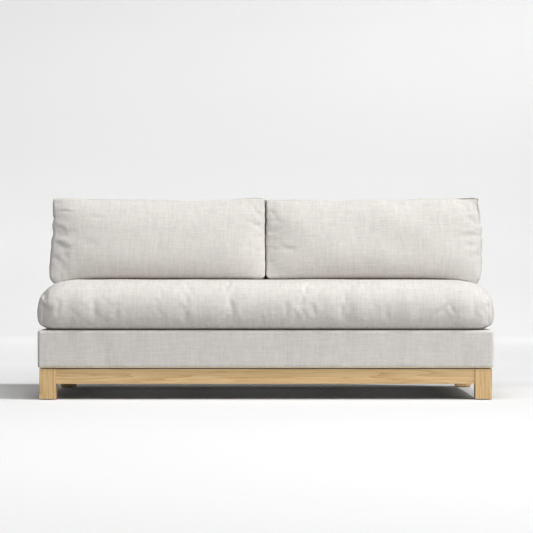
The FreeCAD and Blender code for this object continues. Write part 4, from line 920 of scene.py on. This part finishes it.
# --------------------------------------------------------------------------
# back cushions
# --------------------------------------------------------------------------
def back_plane(z):
    """Y of the front of the upholstered back at height z."""
    return 0.3777 + 0.1 * (z - 0.262)


OUTER = {  # height, half-width at the outer side, for each cushion
    -1: [
        (0.4550, 0.9230), (0.4604, 0.9285), (0.4692, 0.9340), (0.4780, 0.9420), (0.4869, 0.9480), (0.4950, 0.9515), (0.5050, 0.9538),
        (0.5400, 0.9543), (0.5900, 0.9515), (0.6300, 0.9490), (0.6620, 0.9462), (0.6970, 0.9392), (0.7150, 0.9425), (0.7350, 0.9440),
        (0.7500, 0.9405), (0.7620, 0.9385), (0.7760, 0.9425), (0.8000, 0.9430), (0.8350, 0.9450), (0.8520, 0.9445),
    ],
    1: [
        (0.4550, 0.9225), (0.4604, 0.9280), (0.4692, 0.9333), (0.4780, 0.9395), (0.4869, 0.9440), (0.4950, 0.9475), (0.5050, 0.9500),
        (0.5200, 0.9515), (0.5400, 0.9530), (0.5700, 0.9558), (0.6000, 0.9543), (0.6300, 0.9566), (0.6620, 0.9566), (0.6800, 0.9502),
        (0.6970, 0.9537), (0.7150, 0.9540), (0.7350, 0.9475), (0.7500, 0.9485), (0.7700, 0.9500), (0.7860, 0.9495), (0.8000, 0.9475),
        (0.8350, 0.9448), (0.8520, 0.9445),
    ],
}
INNER = [(0.4964, 0.0077), (0.4990, 0.0056), (0.5020, 0.0039), (0.5060, 0.0024), (0.5105, 0.0015), (0.5180, 0.0013), (0.7600, 0.0013), (0.8300, 0.0018), (0.8430, 0.0030), (0.8500, 0.0060)]
FOOT = [  # distance from the middle, height of the front lower edge
    (0.0077, 0.4964), (0.0105, 0.4942), (0.0140, 0.4924), (0.0180, 0.4913), (0.0225, 0.4909), (0.1000, 0.4909), (0.6850, 0.4907), (0.8050, 0.4874),
    (0.8350, 0.4838), (0.8800, 0.4730), (0.9050, 0.4608), (0.9150, 0.4567), (0.9230, 0.4552),
]
HEAD = {
    -1: [
        (0.0060, 0.8440), (0.0200, 0.8515), (0.0500, 0.8525), (0.1200, 0.8475), (0.1830, 0.8430), (0.2280, 0.8415), (0.2720, 0.8385), (0.3160, 0.8365),
        (0.3610, 0.8385), (0.4200, 0.8410), (0.5000, 0.8430), (0.7000, 0.8450), (0.8600, 0.8490), (0.9200, 0.8512), (0.9445, 0.8490),
    ],
    1: [
        (0.0060, 0.8380), (0.0200, 0.8435), (0.0750, 0.8420), (0.1200, 0.8435), (0.2070, 0.8410), (0.2510, 0.8425), (0.3000, 0.8385), (0.3400, 0.8375),
        (0.3840, 0.8405), (0.4730, 0.8432), (0.6000, 0.8440), (0.6950, 0.8478), (0.7600, 0.8460), (0.8600, 0.8490), (0.9200, 0.8512), (0.9445, 0.8490),
    ],
}


# the zips of the back cushions: a point on the bevel at the foot, the way across it and the way out of it
ZIP_MID, ZIP_ACROSS, ZIP_OUT = (0.0, 0.3852, 0.5076), (0.0, 0.7400, 0.6727), (0.0, 0.6727, -0.7400)


def meeting(t):
    """Where the two cushions' inner sides meet, over their depth: neither side is quite flat."""
    return 0.0080 * np.exp(-(((t - 0.45) / 0.2) ** 2)) * smooth(t, 0.0, 0.12) * smooth(1 - t, 0.0, 0.12)


def back_shape(sign, step, fine):
    """One back cushion. sign is -1 for the left one and 1 for the right one."""
    L = Lattice(spaced(0.945, step, fine), spaced(0.190, step, fine), spaced(0.370, step, fine))
    S, T, R = L.uvw.T
    u = 1 - S if sign < 0 else S            # 0 at the inner side, 1 at the outer side
    zb = curve(0.0077 + u * 0.9153, FOOT)
    zt = curve(0.0060 + u * 0.9385, HEAD[sign])
    z = zb * (1 - R) + zt * R
    xo, xi = curve(z, OUTER[sign]), curve(z, INNER)
    xi = xi + 0.0012 * (1 + ripple(z, 17 + sign, 6, 9.0, 26.0)).clip(0, 2.2) * smooth(z, 0.66, 0.74) * (1 - smooth(z, 0.80, 0.84))
    x = xi * (1 - u) + xo * u
    # front and rear seams from the side: the cushion tapers to its top
    lean = np.clip((z - 0.487) / 0.362, 0, 1)
    y_front = 0.196 + 0.062 * lean + 0.007 * np.sin(math.pi * lean)
    rear = back_plane(z) - 0.0016
    y_rear = rear - 0.014 * smooth(z, 0.70, 0.846) - 0.0010
    y = y_front * (1 - T) + y_rear * T
    on = {k: L.on(*k) for k in ((0, 0), (0, 1), (1, 0), (1, 1), (2, 0), (2, 1))}

    def dome(a, b, pa, pb):
        return (1 - np.abs(2 * a - 1) ** pa) * (1 - np.abs(2 * b - 1) ** pb)

    crown = 0.040 * dome(u, R, 3.4, 2.6) * (1 - 0.18 * R)
    # the face rolls over quickly beside the upright seams
    crown = crown + 0.015 * (1 - np.exp(-(1 - u) * 0.945 / 0.05)) * (1 - np.exp(-u * 0.945 / 0.05)) * (1 - np.abs(2 * R - 1) ** 4)
    y = np.where(on[(1, 0)], y - crown, y)
    y = np.where(on[(1, 1)], np.minimum(y + 0.016 * dome(u, R, 8, 5), rear), y)
    side = 0.0075 * dome(T, R, 2.4, 4.0)
    outer = on[(0, 0)] if sign < 0 else on[(0, 1)]
    inner = on[(0, 1)] if sign < 0 else on[(0, 0)]
    x = np.where(outer & ~on[(1, 0)], x + side, x)
    x = np.where(inner, np.maximum(x - side * 0.10, 0.0014), x)
    z = np.where(on[(2, 1)], z + 0.0015 * dome(u, T, 6, 2.2), z)
    # the underside lies on the seat; its rear edge is cut off in a bevel for the zip
    low = on[(2, 0)]
    z = np.where(low, np.minimum(z, np.maximum(top_of_seat(x) + 0.0013, z - 0.012 * smooth(T, 0, 0.22))), z)
    foot = top_of_seat(x) + 0.0013
    cut = y - (back_plane(z) - 0.0010 - 0.036) - (z - 0.4896)
    bevel = (cut > 0) & (T > 0.5)
    y = np.where(bevel, y - cut * 0.5, y)
    z = np.where(bevel, z + cut * 0.5, z)
    z = np.maximum(z, foot)
    x = sign * x + meeting(T) * np.clip(1 - u / 0.07, 0, 1) ** 2
    return L, np.stack([x, y, z], 1), u


BACK_SEAMS = [
    (1, 0, 0, 0), (1, 0, 0, 1), (1, 0, 2, 0), (1, 0, 2, 1), (1, 1, 0, 0), (1, 1, 0, 1), (1, 1, 2, 1), (1, 1, 2, 0),
]


def make_back(sign, seed):
    L0, rough, u = back_shape(sign, 0.0105, ())
    x, y, z = rough.T
    seam = np.zeros(len(x))
    for s in BACK_SEAMS:
        seam = np.maximum(seam, np.where(edge_rows(L0, *s) <= 1, 1.0, 0.0))
    hold = np.full(len(x), 0.10)
    hold = np.where(seam > 0, 0.35, hold)
    hold = np.where(y > back_plane(z) - 0.004, 0.85, hold)
    hold = np.where(z < top_of_seat(x) + 0.003, 0.85, hold)
    hold = np.where(np.abs(x) < 0.004, 0.7, hold)
    hold = np.where(L0.on(2, 1), 0.75, hold)
    upright = np.zeros(len(x))
    for s in BACK_SEAMS:
        if 0 in s[::2] and 1 in s[::2]:
            upright = np.maximum(upright, np.where(edge_rows(L0, *s) <= 1, 1.0, 0.0))
    pressed = press_out(L0, rough, hold, np.maximum(0.45 * seam, upright), 3.5, 0.014, 0.050)
    # its creases are strongest beside the upright seams, and faint over the middle
    near = 1 - smooth(np.minimum(u, 1 - u) * 0.945, 0.02, 0.20)
    co = blend_cloth(L0, rough, pressed, 60, 0.15, ((0.20 + 0.22 * near) * (0.35 + 0.65 * smooth(z, 0.50, 0.64)))[:, None], 0.012)
    L, base, u = back_shape(sign, 0.0058, FINE)
    co = base + L0.carry(co - rough, L)
    nrm = L.normals(base)
    return L, co, base, nrm


FOLDS = {
    -1: (
        (((-0.932, 0.789), (-0.890, 0.793), (-0.845, 0.786)), 0.0052, 0.0030),
        (((-0.937, 0.722), (-0.905, 0.715), (-0.878, 0.700)), 0.0110, 0.0036),
        (((-0.925, 0.690), (-0.900, 0.683), (-0.868, 0.688)), 0.0140, 0.0028),
        (((-0.938, 0.656), (-0.900, 0.640), (-0.852, 0.621)), 0.0130, 0.0044),
        (((-0.820, 0.655), (-0.780, 0.648), (-0.730, 0.655)), 0.0150, 0.0018),
        (((-0.800, 0.775), (-0.745, 0.764), (-0.700, 0.768)), 0.0110, 0.0014),
        (((-0.115, 0.760), (-0.060, 0.745), (-0.020, 0.712)), 0.0100, 0.0014),
        (((-0.100, 0.640), (-0.060, 0.632), (-0.020, 0.612)), 0.0120, 0.0013),
    ),
    1: (
        (((0.015, 0.800), (0.040, 0.775), (0.052, 0.735)), 0.0120, 0.0022),
        (((0.018, 0.735), (0.055, 0.742), (0.100, 0.730)), 0.0120, 0.0013),
        (((0.050, 0.640), (0.095, 0.625), (0.150, 0.617)), 0.0120, 0.0026),
        (((0.930, 0.795), (0.890, 0.788), (0.850, 0.798)), 0.0080, 0.0020),
        (((0.940, 0.715), (0.900, 0.722), (0.860, 0.715)), 0.0090, 0.0024),
        (((0.942, 0.630), (0.905, 0.640), (0.860, 0.632)), 0.0100, 0.0024),
        (((0.560, 0.838), (0.585, 0.815), (0.600, 0.790)), 0.0110, 0.0014),
    ),
}

for side, sign in (("left", -1), ("right", 1)):
    L, co, base, nrm = make_back(sign, 50 + sign)
    front = (nrm[:, 1] < -0.05).astype(float)
    for path, width, depth in FOLDS[sign]:
        co = fold(co, nrm, path, width, depth, mask=front)
    # the loose filling leaves the face a little uneven
    x, y, z = co.T
    lumps = ripple(x + 0.4 * z, 61 + sign, 8, 1.2, 4.5) * ripple(z - 0.2 * x, 71 + sign, 6, 1.5, 5.0)
    co = co + nrm * (0.0016 * lumps * front)[:, None]
    for k, s in enumerate(BACK_SEAMS):
        upright = 0 in s[::2] and 1 in s[::2]
        co = puckers(L, co, s, 90 + 10 * sign + k, 0.016 if upright else 0.024, (0.014, 0.085) if upright else (0.010, 0.055),
                     (0.0007, 0.0021) if upright else (0.0004, 0.0013), (0.0035, 0.0085))
    co = seam_groove(L, co, BACK_SEAMS)
    # clear of the seat, the upholstered back and the other cushion
    co[:, 2] = np.maximum(co[:, 2], top_of_seat(co[:, 0]) + 0.0011)
    lim = np.where(co[:, 2] < 0.762, back_plane(co[:, 2]) - 0.0010, back_plane(0.762) + 0.004 * smooth(co[:, 2], 0.762, 0.80) + 0.02 * (co[:, 2] - 0.762))
    co[:, 1] = np.minimum(co[:, 1], lim)
    proud = (co[:, 1] - ZIP_MID[1]) * ZIP_OUT[1] + (co[:, 2] - ZIP_MID[2]) * ZIP_OUT[2] + 0.0003
    by_zip = (proud > 0) & (np.abs(np.abs(co[:, 0]) - 0.4732) < 0.425) & (co[:, 1] > 0.34) & (co[:, 2] < 0.53)
    co[:, 1] = np.where(by_zip, co[:, 1] - proud * ZIP_OUT[1], co[:, 1])
    co[:, 2] = np.where(by_zip, co[:, 2] - proud * ZIP_OUT[2], co[:, 2])
    gap = meeting(L.uvw[:, 1])
    co[:, 0] = gap + sign * np.maximum(sign * (co[:, 0] - gap), 0.0013)
    name = "back_cushion_" + side
    skin(name + "_linen", L, co, 11 if sign < 0 else 21, name, name + "_cover", fill=0.7)
    lining(name + "_ticking", L, co, back_shape(sign, 0.018, ())[0], 0.006, name, "fibre", M_FIBRE, name + "_fill")


# --------------------------------------------------------------------------
# taut covers of the body and the back
# --------------------------------------------------------------------------
def rounded_box(lo, hi, radius, step, fine):
    lo, hi = np.array(lo, float), np.array(hi, float)
    size = hi - lo
    arcs = tuple(radius * k for k in (0.15, 0.33, 0.52, 0.72, 0.9, 1.05, 1.35))
    L = Lattice(*(spaced(x, step, arcs) for x in size))
    p = lo + L.uvw * size
    inner = np.clip(p, lo + radius, hi - radius)
    v = p - inner
    n = np.linalg.norm(v, axis=1, keepdims=True)
    return L, np.where(n > 1e-9, inner + v / np.maximum(n, 1e-9) * radius, p)


def thicken(o, depth):
    m = o.modifiers.new("thickness", "SOLIDIFY")
    m.thickness = depth
    m.offset = -1
    m.use_rim = True


STEP = 0.009
L, co = rounded_box((-0.935, -0.502, 0.130), (0.935, 0.514, 0.286), 0.0125, STEP, ())
nrm = L.normals(co)
x, y, z = co.T
# foam under a taut cover: the faces crown very slightly, and the top edge is softer than the foot
faces_out = np.clip(1 - np.abs(nrm[:, 2]), 0, 1)
soft = 0.0011 * ripple(x + 0.2 * z, 201, 9, 0.8, 3.6) * ripple(y + 0.13, 202, 5, 0.6, 2.5) + 0.0006 * ripple(x + y, 203, 10, 3.0, 9.0)
rim = smooth(z, 0.130, 0.150) * (1 - 0.5 * smooth(z, 0.25, 0.284))
co = co + nrm * (np.clip(soft, -0.0016, 0.0004) * rim * faces_out)[:, None]
BODY_SEAMS = [(0, 0, 1, 0), (0, 1, 1, 0), (0, 0, 1, 1), (0, 1, 1, 1)]
for k, s in enumerate(BODY_SEAMS):
    co = puckers(L, co, s, 210 + k, 0.030, (0.010, 0.035), (0.0003, 0.0008), (0.003, 0.006))
co = seam_groove(L, co, BODY_SEAMS, 0.0016, 0.0026, 0.0004)
co = np.clip(co, (-0.9352, -0.5022, 0.1300), (0.9352, 0.5142, 0.2861))
mid = co[L.faces].mean(1)
opening = (L.side == 4) & (np.abs(mid[:, 0]) < 0.893) & (mid[:, 1] > -0.460) & (mid[:, 1] < 0.472)
slot = (L.side == 5) & (np.abs(mid[:, 0]) < 0.900) & (mid[:, 1] > 0.400) & (mid[:, 1] < 0.495)
o = skin("body_linen", L, co, 31, "frame", "body_cover", fill=1.0, keep=~(opening | slot))
thicken(o, 0.0015)

L, co = rounded_box((-0.935, 0.378, 0.2868), (0.935, 0.514, 0.760), 0.0115, STEP, ())
depth = (0.514 - co[:, 1]) / (0.514 - 0.378)
co[:, 1] = 0.514 - depth * (0.514 - (back_plane(co[:, 2]) + 0.0004))
nrm = L.normals(co)
x, y, z = co.T
soft = 0.0011 * ripple(x + 0.2 * z, 221, 9, 0.8, 3.2) * ripple(z + 0.13, 222, 5, 1.2, 3.5) + 0.0006 * ripple(x + z, 223, 10, 3.0, 8.0)
co = co + nrm * (np.clip(soft, -0.0018, 0.0) * smooth(z, 0.29, 0.33))[:, None]
BACK_EDGES = [(0, 0, 1, 0), (0, 1, 1, 0), (0, 0, 1, 1), (0, 1, 1, 1), (2, 1, 1, 0), (2, 1, 1, 1), (0, 0, 2, 1), (0, 1, 2, 1)]
for k, s in enumerate(BACK_EDGES):
    co = puckers(L, co, s, 230 + k, 0.034, (0.010, 0.040), (0.0003, 0.0008), (0.003, 0.006))
co = seam_groove(L, co, BACK_EDGES, 0.0006, 0.0026, 0.0003)
co[:, 0] = np.clip(co[:, 0], -0.9352, 0.9352)
co[:, 1] = np.clip(co[:, 1], back_plane(co[:, 2]) + 0.0001, 0.5142)
co[:, 2] = np.clip(co[:, 2], 0.2868, 0.7602)
mid = co[L.faces].mean(1)
opening = (L.side == 4) & (np.abs(mid[:, 0]) < 0.905) & (mid[:, 1] > 0.405) & (mid[:, 1] < 0.495)
o = skin("back_linen", L, co, 41, "frame", "back_cover", fill=1.0, keep=~opening)
thicken(o, 0.0015)


# --------------------------------------------------------------------------
# zips: two tapes with a bead, interlocking teeth, stops and the rows of stitches that hold them
# --------------------------------------------------------------------------
def prisms(centres, halves, taper=0.0):
    """Small blocks, narrower on their outer side."""
    corner = np.array([(-1, -1, -1), (1, -1, -1), (1, 1, -1), (-1, 1, -1), (-1, -1, 1), (1, -1, 1), (1, 1, 1), (-1, 1, 1)], float)
    narrow = corner * np.where(corner[:, 2:] > 0, (1 - taper, 1 - taper, 1.0), 1.0)
    v = np.asarray(centres)[:, None] + np.asarray(halves)[:, None] * narrow[None]
    f = np.array([(0, 3, 2, 1), (4, 5, 6, 7), (0, 1, 5, 4), (1, 2, 6, 5), (2, 3, 7, 6), (3, 0, 4, 7)])
    return v.reshape(-1, 3), (f[None] + 8 * np.arange(len(centres))[:, None, None]).reshape(-1, 4)


def tidy(o):
    bm = bmesh.new()
    bm.from_mesh(o.data)
    bmesh.ops.recalc_face_normals(bm, faces=bm.faces)
    bm.to_mesh(o.data)
    bm.free()


def zip_fastener(node, body, middle, across, out, length, seed):
    middle, across, out = (np.array(v, float) for v in (middle, across, out))

    def laid(p):
        return middle + p[:, :1] * np.array((1.0, 0, 0)) + p[:, 1:2] * across + p[:, 2:] * out

    # tapes, as a profile of distance from the middle and height, carried along
    profile = np.array([
        (0.0009, 0.0003), (0.0010, 0.0010), (0.0018, 0.0013), (0.0027, 0.0011), (0.0034, 0.0007), (0.0085, 0.00065),
        (0.0134, 0.0006), (0.0140, 0.00035), (0.0134, 0.0001), (0.0085, 0.0001), (0.0034, 0.0001), (0.0018, 0.0001),
    ])
    k = len(profile)
    xs = np.linspace(-length / 2, length / 2, int(length / 0.012) + 1)
    verts, faces = [], []
    for sgn in (-1, 1):
        first = sum(len(v) for v in verts)
        wave = 0.00012 * ripple(xs, seed + sgn, 8, 4.0, 30.0)
        g = np.zeros((len(xs), k, 3))
        g[..., 0] = xs[:, None]
        g[..., 1] = sgn * (profile[:, 0][None] + (0.0003 * ripple(xs, seed + 7 + sgn, 6, 3.0, 12.0))[:, None] * (profile[:, 0] > 0.01)[None])
        g[..., 2] = profile[:, 1][None] + np.clip(wave, -0.00008, 0.0002)[:, None] * (profile[:, 0] > 0.003)[None]
        verts.append(g.reshape(-1, 3))
        for i in range(len(xs) - 1):
            for j in range(k):
                a, b = first + i * k + j, first + i * k + (j + 1) % k
                faces.append((a, b, b + k, a + k))
        faces.append(tuple(first + j for j in range(k)))
        faces.append(tuple(first + (len(xs) - 1) * k + j for j in range(k))[::-1])
    me = bpy.data.meshes.new(node + "_tapes")
    me.from_pydata([tuple(v) for v in laid(np.concatenate(verts))], [], faces)
    tapes = bpy.data.objects.new(node + "_tapes", me)
    COLL.objects.link(tapes)
    tidy(tapes)
    tapes.data.materials.append(M_TAPE)
    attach(tapes, body)
    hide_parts(node)

    # teeth from both tapes, one after the other, and a stop at each end
    n = int((length - 0.014) / 0.00125)
    i = np.arange(n)
    sgn = np.where(i % 2 == 0, 1.0, -1.0)
    c = np.stack([-length / 2 + 0.007 + i * 0.00125, sgn * 0.0011, np.full(n, 0.00150)], 1)
    h = np.tile((0.00050, 0.00205, 0.00075), (n, 1))
    c = np.concatenate([c, [(-length / 2 + 0.0045, 0, 0.0016), (length / 2 - 0.0045, 0, 0.0016)]])
    h = np.concatenate([h, [(0.0017, 0.0029, 0.0010), (0.0017, 0.0029, 0.0010)]])
    v, f = prisms(c, h, 0.28)
    teeth = mesh_object(node + "_teeth", laid(v), f, soft=False)
    tidy(teeth)
    teeth.data.materials.append(M_NICKEL)
    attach(teeth, body)

    # lockstitches, a row along each tape
    pitch = 0.0034
    n = int((length - 0.006) / pitch)
    rng = np.random.RandomState(seed)
    c, h = [], []
    for sgn in (-1, 1):
        i = np.arange(n)
        c.append(np.stack([-length / 2 + 0.003 + (i + 0.5) * pitch, sgn * (0.0102 + rng.uniform(-0.0001, 0.0001, n)), np.full(n, 0.00070)], 1))
        h.append(np.tile((0.00125, 0.00022, 0.00018), (n, 1)))
    v, f = prisms(np.concatenate(c), np.concatenate(h), 0.35)
    thread = mesh_object(node + "_stitches", laid(v), f, soft=False)
    tidy(thread)
    thread.data.materials.append(M_THREAD)
    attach(thread, body)


zip_fastener("seat_zip", "seat_cushion", (0.0, 0.3780, 0.3870), (0.0, 0.0, 1.0), (0.0, 1.0, 0.0), 1.600, 301)
for side, sign in (("left", -1), ("right", 1)):
    name = "back_cushion_" + side
    zip_fastener(name + "_zip", name, (sign * 0.4732, ZIP_MID[1], ZIP_MID[2]), ZIP_ACROSS, ZIP_OUT, 0.820, 320 + 10 * sign)


# --------------------------------------------------------------------------
# dust cloth under the body, stapled round its edge and sagging a little between what it rests on
# --------------------------------------------------------------------------
DX, DY0, DY1, DZ = 0.8945, -0.4615, 0.4735, 0.1315


def dust_cloth():
    nx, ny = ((150, 80))
    x, y = (g.ravel() for g in np.meshgrid(np.linspace(-DX, DX, nx + 1), np.linspace(DY0, DY1, ny + 1), indexing="ij"))
    rim = np.minimum(DX - np.abs(x), np.minimum(y - DY0, DY1 - y))
    clear = np.clip(rim - 0.035, 0, 1)
    for node in ("base_stretcher_left", "base_stretcher_right"):
        lo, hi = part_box(node)
        clear = np.minimum(clear, np.clip(np.maximum(lo[0] - 0.012 - x, x - hi[0] - 0.012), 0, 1))
    sag = 0.0034 * smooth(clear, 0, 0.16)
    # the cloth is drawn tight to each staple
    around = np.where(DX - np.abs(x) < np.minimum(y - DY0, DY1 - y), y, x)
    drawn = 0.00035 * np.cos(2 * math.pi * around / 0.055) * np.exp(-rim / 0.02) * smooth(rim, 0, 0.012)
    fine = 0.00030 * ripple(x + 0.3 * y, 401, 9, 1.5, 7.0) * ripple(y - 0.2 * x, 402, 7, 1.0, 5.0) * smooth(rim, 0.01, 0.06)
    z = DZ - sag + np.clip(drawn + fine, -0.0005, 0.0005)
    i = np.arange(nx)[:, None] * (ny + 1) + np.arange(ny)[None]
    f = np.stack([i, i + 1, i + ny + 2, i + ny + 1], -1).reshape(-1, 4)
    return mesh_object("dust_cloth", np.stack([x, y, z], 1), f)


dust = dust_cloth()
dust.data.materials.append(M_DUST)
thicken(dust, 0.0004)
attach(dust, "frame")
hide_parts("dust_cover")

rng = np.random.RandomState(410)
c, h = [], []
for xx in np.arange(-0.880, 0.8801, 0.055):
    for yy in (DY0 + 0.0065, DY1 - 0.0065):
        c.append((xx + rng.uniform(-0.003, 0.003), yy + rng.uniform(-0.001, 0.001), 0.0))
        h.append((0.0050, 0.00055, 0.0003))
for yy in np.arange(-0.4125, 0.4401, 0.055):
    for xx in (-DX + 0.0065, DX - 0.0065):
        c.append((xx + rng.uniform(-0.001, 0.001), yy + rng.uniform(-0.003, 0.003), 0.0))
        h.append((0.00055, 0.0050, 0.0003))
v, f = prisms(np.array(c), np.array(h), 0.2)
v[:, 2] = 0.1309 - v[:, 2]
staples = mesh_object("dust_cloth_staples", v, f, soft=False)
tidy(staples)
staples.data.materials.append(M_ZINC)
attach(staples, "frame")


# --------------------------------------------------------------------------
# stage: a pale bowl and soft light
# --------------------------------------------------------------------------
def stage_bowl():
    radius, cove, height = 13.0, 4.0, 6.0
    prof = [(0.0, 0.0), (1.5, 0.0), (4.0, 0.0), (7.0, 0.0), (radius - cove, 0.0)]
    for i in range(1, 17):
        a = i / 16 * math.pi / 2
        prof.append((radius - cove + cove * math.sin(a), cove - cove * math.cos(a)))
    prof.append((radius, height))
    seg = 96
    co, faces = [(0, 0, 0)], []
    for r_, z_ in prof[1:]:
        for k in range(seg):
            a = 2 * math.pi * k / seg
            co.append((r_ * math.cos(a), r_ * math.sin(a), z_))
    for k in range(seg):
        faces.append((0, 1 + k, 1 + (k + 1) % seg))
    for ring in range(len(prof) - 2):
        a0 = 1 + ring * seg
        for k in range(seg):
            k2 = (k + 1) % seg
            faces.append((a0 + k, a0 + seg + k, a0 + seg + k2, a0 + k2))
    me = bpy.data.meshes.new("studio_floor")
    me.from_pydata(co, [], faces)
    me.polygons.foreach_set("use_smooth", np.ones(len(me.polygons), bool))
    o = bpy.data.objects.new("studio_floor", me)
    COLL.objects.link(o)
    m = bpy.data.materials.new("studio_white")
    m.use_nodes = True
    b = m.node_tree.nodes["Principled BSDF"]
    b.inputs["Base Color"].default_value = (0.74, 0.74, 0.74, 1)
    b.inputs["Roughness"].default_value = 1.0
    b.inputs["Specular IOR Level"].default_value = 0.0
    # the floor throws back less light than it shows, as if it were masked off outside the view
    nt = m.node_tree
    path = nt.nodes.new("ShaderNodeLightPath")
    mix = nt.nodes.new("ShaderNodeMix")
    mix.data_type = "RGBA"
    # painted light and shade on the backdrop and floor: the base colour is made darker low on the cove and far back,
    # and lighter on the floor a few metres behind the sofa and towards the top and the right, standing in for how the
    # lamps fall there
    at = nt.nodes.new("ShaderNodeSeparateXYZ")
    nt.links.new(nt.nodes.new("ShaderNodeTexCoord").outputs["Object"], at.inputs[0])

    def calc(op, *args):
        n = nt.nodes.new("ShaderNodeMath")
        n.operation = op
        for k, a in enumerate(args):
            if isinstance(a, float):
                n.inputs[k].default_value = a
            else:
                nt.links.new(a, n.inputs[k])
        return n.outputs[0]

    def graded(value, span, stops):
        n = nt.nodes.new("ShaderNodeValToRGB")
        while len(n.color_ramp.elements) < len(stops):
            n.color_ramp.elements.new(0.5)
        for e, (place, v) in zip(n.color_ramp.elements, stops):
            e.position = place / span
            e.color = (v / 1.5, v / 1.5, v / 1.5, 1)
        nt.links.new(calc("DIVIDE", value, span), n.inputs[0])
        return calc("MULTIPLY", n.outputs[0], 1.5)

    far = graded(at.outputs["Y"], 10.0, ((0.0, 1.0), (0.3, 1.02), (1.0, 1.11), (2.7, 1.17), (4.9, 1.06), (8.0, 0.84)))
    up = graded(at.outputs["Z"], 4.0, ((0.4, 1.0), (0.8, 1.05), (1.2, 1.065), (1.63, 1.11), (2.05, 1.19), (2.45, 1.285), (2.85, 1.37), (3.2, 1.42)))
    slope = graded(at.outputs["Z"], 4.0, ((0.9, 0.988), (3.0, 1.024)))
    across = calc("ADD", calc("MULTIPLY", calc("SUBTRACT", slope, 1.0), at.outputs["X"]), 1.0)
    stage_painted_light = nt.nodes.new("ShaderNodeVectorMath")
    stage_painted_light.operation = "SCALE"
    stage_painted_light.inputs[0].default_value = (0.74, 0.74, 0.74)
    nt.links.new(calc("MULTIPLY", calc("MULTIPLY", far, up), across), stage_painted_light.inputs["Scale"])
    nt.links.new(stage_painted_light.outputs[0], mix.inputs[6])
    mix.inputs[7].default_value = (0.50, 0.50, 0.50, 1)
    nt.links.new(path.outputs["Is Diffuse Ray"], mix.inputs[0])
    nt.links.new(mix.outputs[2], b.inputs["Base Color"])
    me.materials.append(m)
    return o


floor = stage_bowl()


def area_light(name, where, target, size, power, colour=(1, 1, 1), spread=180):
    d = bpy.data.lights.new(name, "AREA")
    d.shape = "RECTANGLE"
    d.size, d.size_y = size
    d.energy = power
    d.color = colour
    d.spread = math.radians(spread)
    o = bpy.data.objects.new(name, d)
    o.location = where
    o.rotation_euler = (Vector(target) - Vector(where)).to_track_quat("-Z", "Y").to_euler()
    COLL.objects.link(o)
    return o


sun_data = bpy.data.lights.new("key_sun", "SUN")
sun_data.energy = 1.70
sun_data.angle = math.radians(5)
sun = bpy.data.objects.new("key_sun", sun_data)
sun.rotation_euler = Vector((-0.604, 0.220, -0.766)).to_track_quat("-Z", "Y").to_euler()
COLL.objects.link(sun)
area_light("top_soft", (0.3, -1.6, 5.2), (0, -0.2, 0.3), (5.0, 3.0), 151)
area_light("front_top", (0.8, -6.0, 4.6), (0, 0, 0.4), (4.5, 3.0), 126)
area_light("right_front", (5.2, -4.6, 2.8), (0, 0, 0.45), (2.6, 2.6), 161)
area_light("backdrop_right", (3.2, 6.5, 6.0), (3.0, 13.0, 1.4), (6.0, 2.5), 124, spread=130)
area_light("backdrop_left", (-3.2, 6.5, 6.0), (-3.0, 13.0, 1.4), (6.0, 2.5), 51, spread=130)
area_light("far_floor", (0.6, 6.5, 6.5), (0.6, 7.5, 0.0), (9.0, 2.5), 144, spread=110)

area_light("under_fill", (0.0, 0.0, 0.112), (0, 0, 0), (1.50, 0.70), 0.20)

world = bpy.data.worlds.new("studio_world")
world.use_nodes = True
world.node_tree.nodes["Background"].inputs[0].default_value = (1, 1, 1, 1)
world.node_tree.nodes["Background"].inputs[1].default_value = 0.080
bpy.context.scene.world = world
bpy.context.scene.view_settings.view_transform = "Standard"
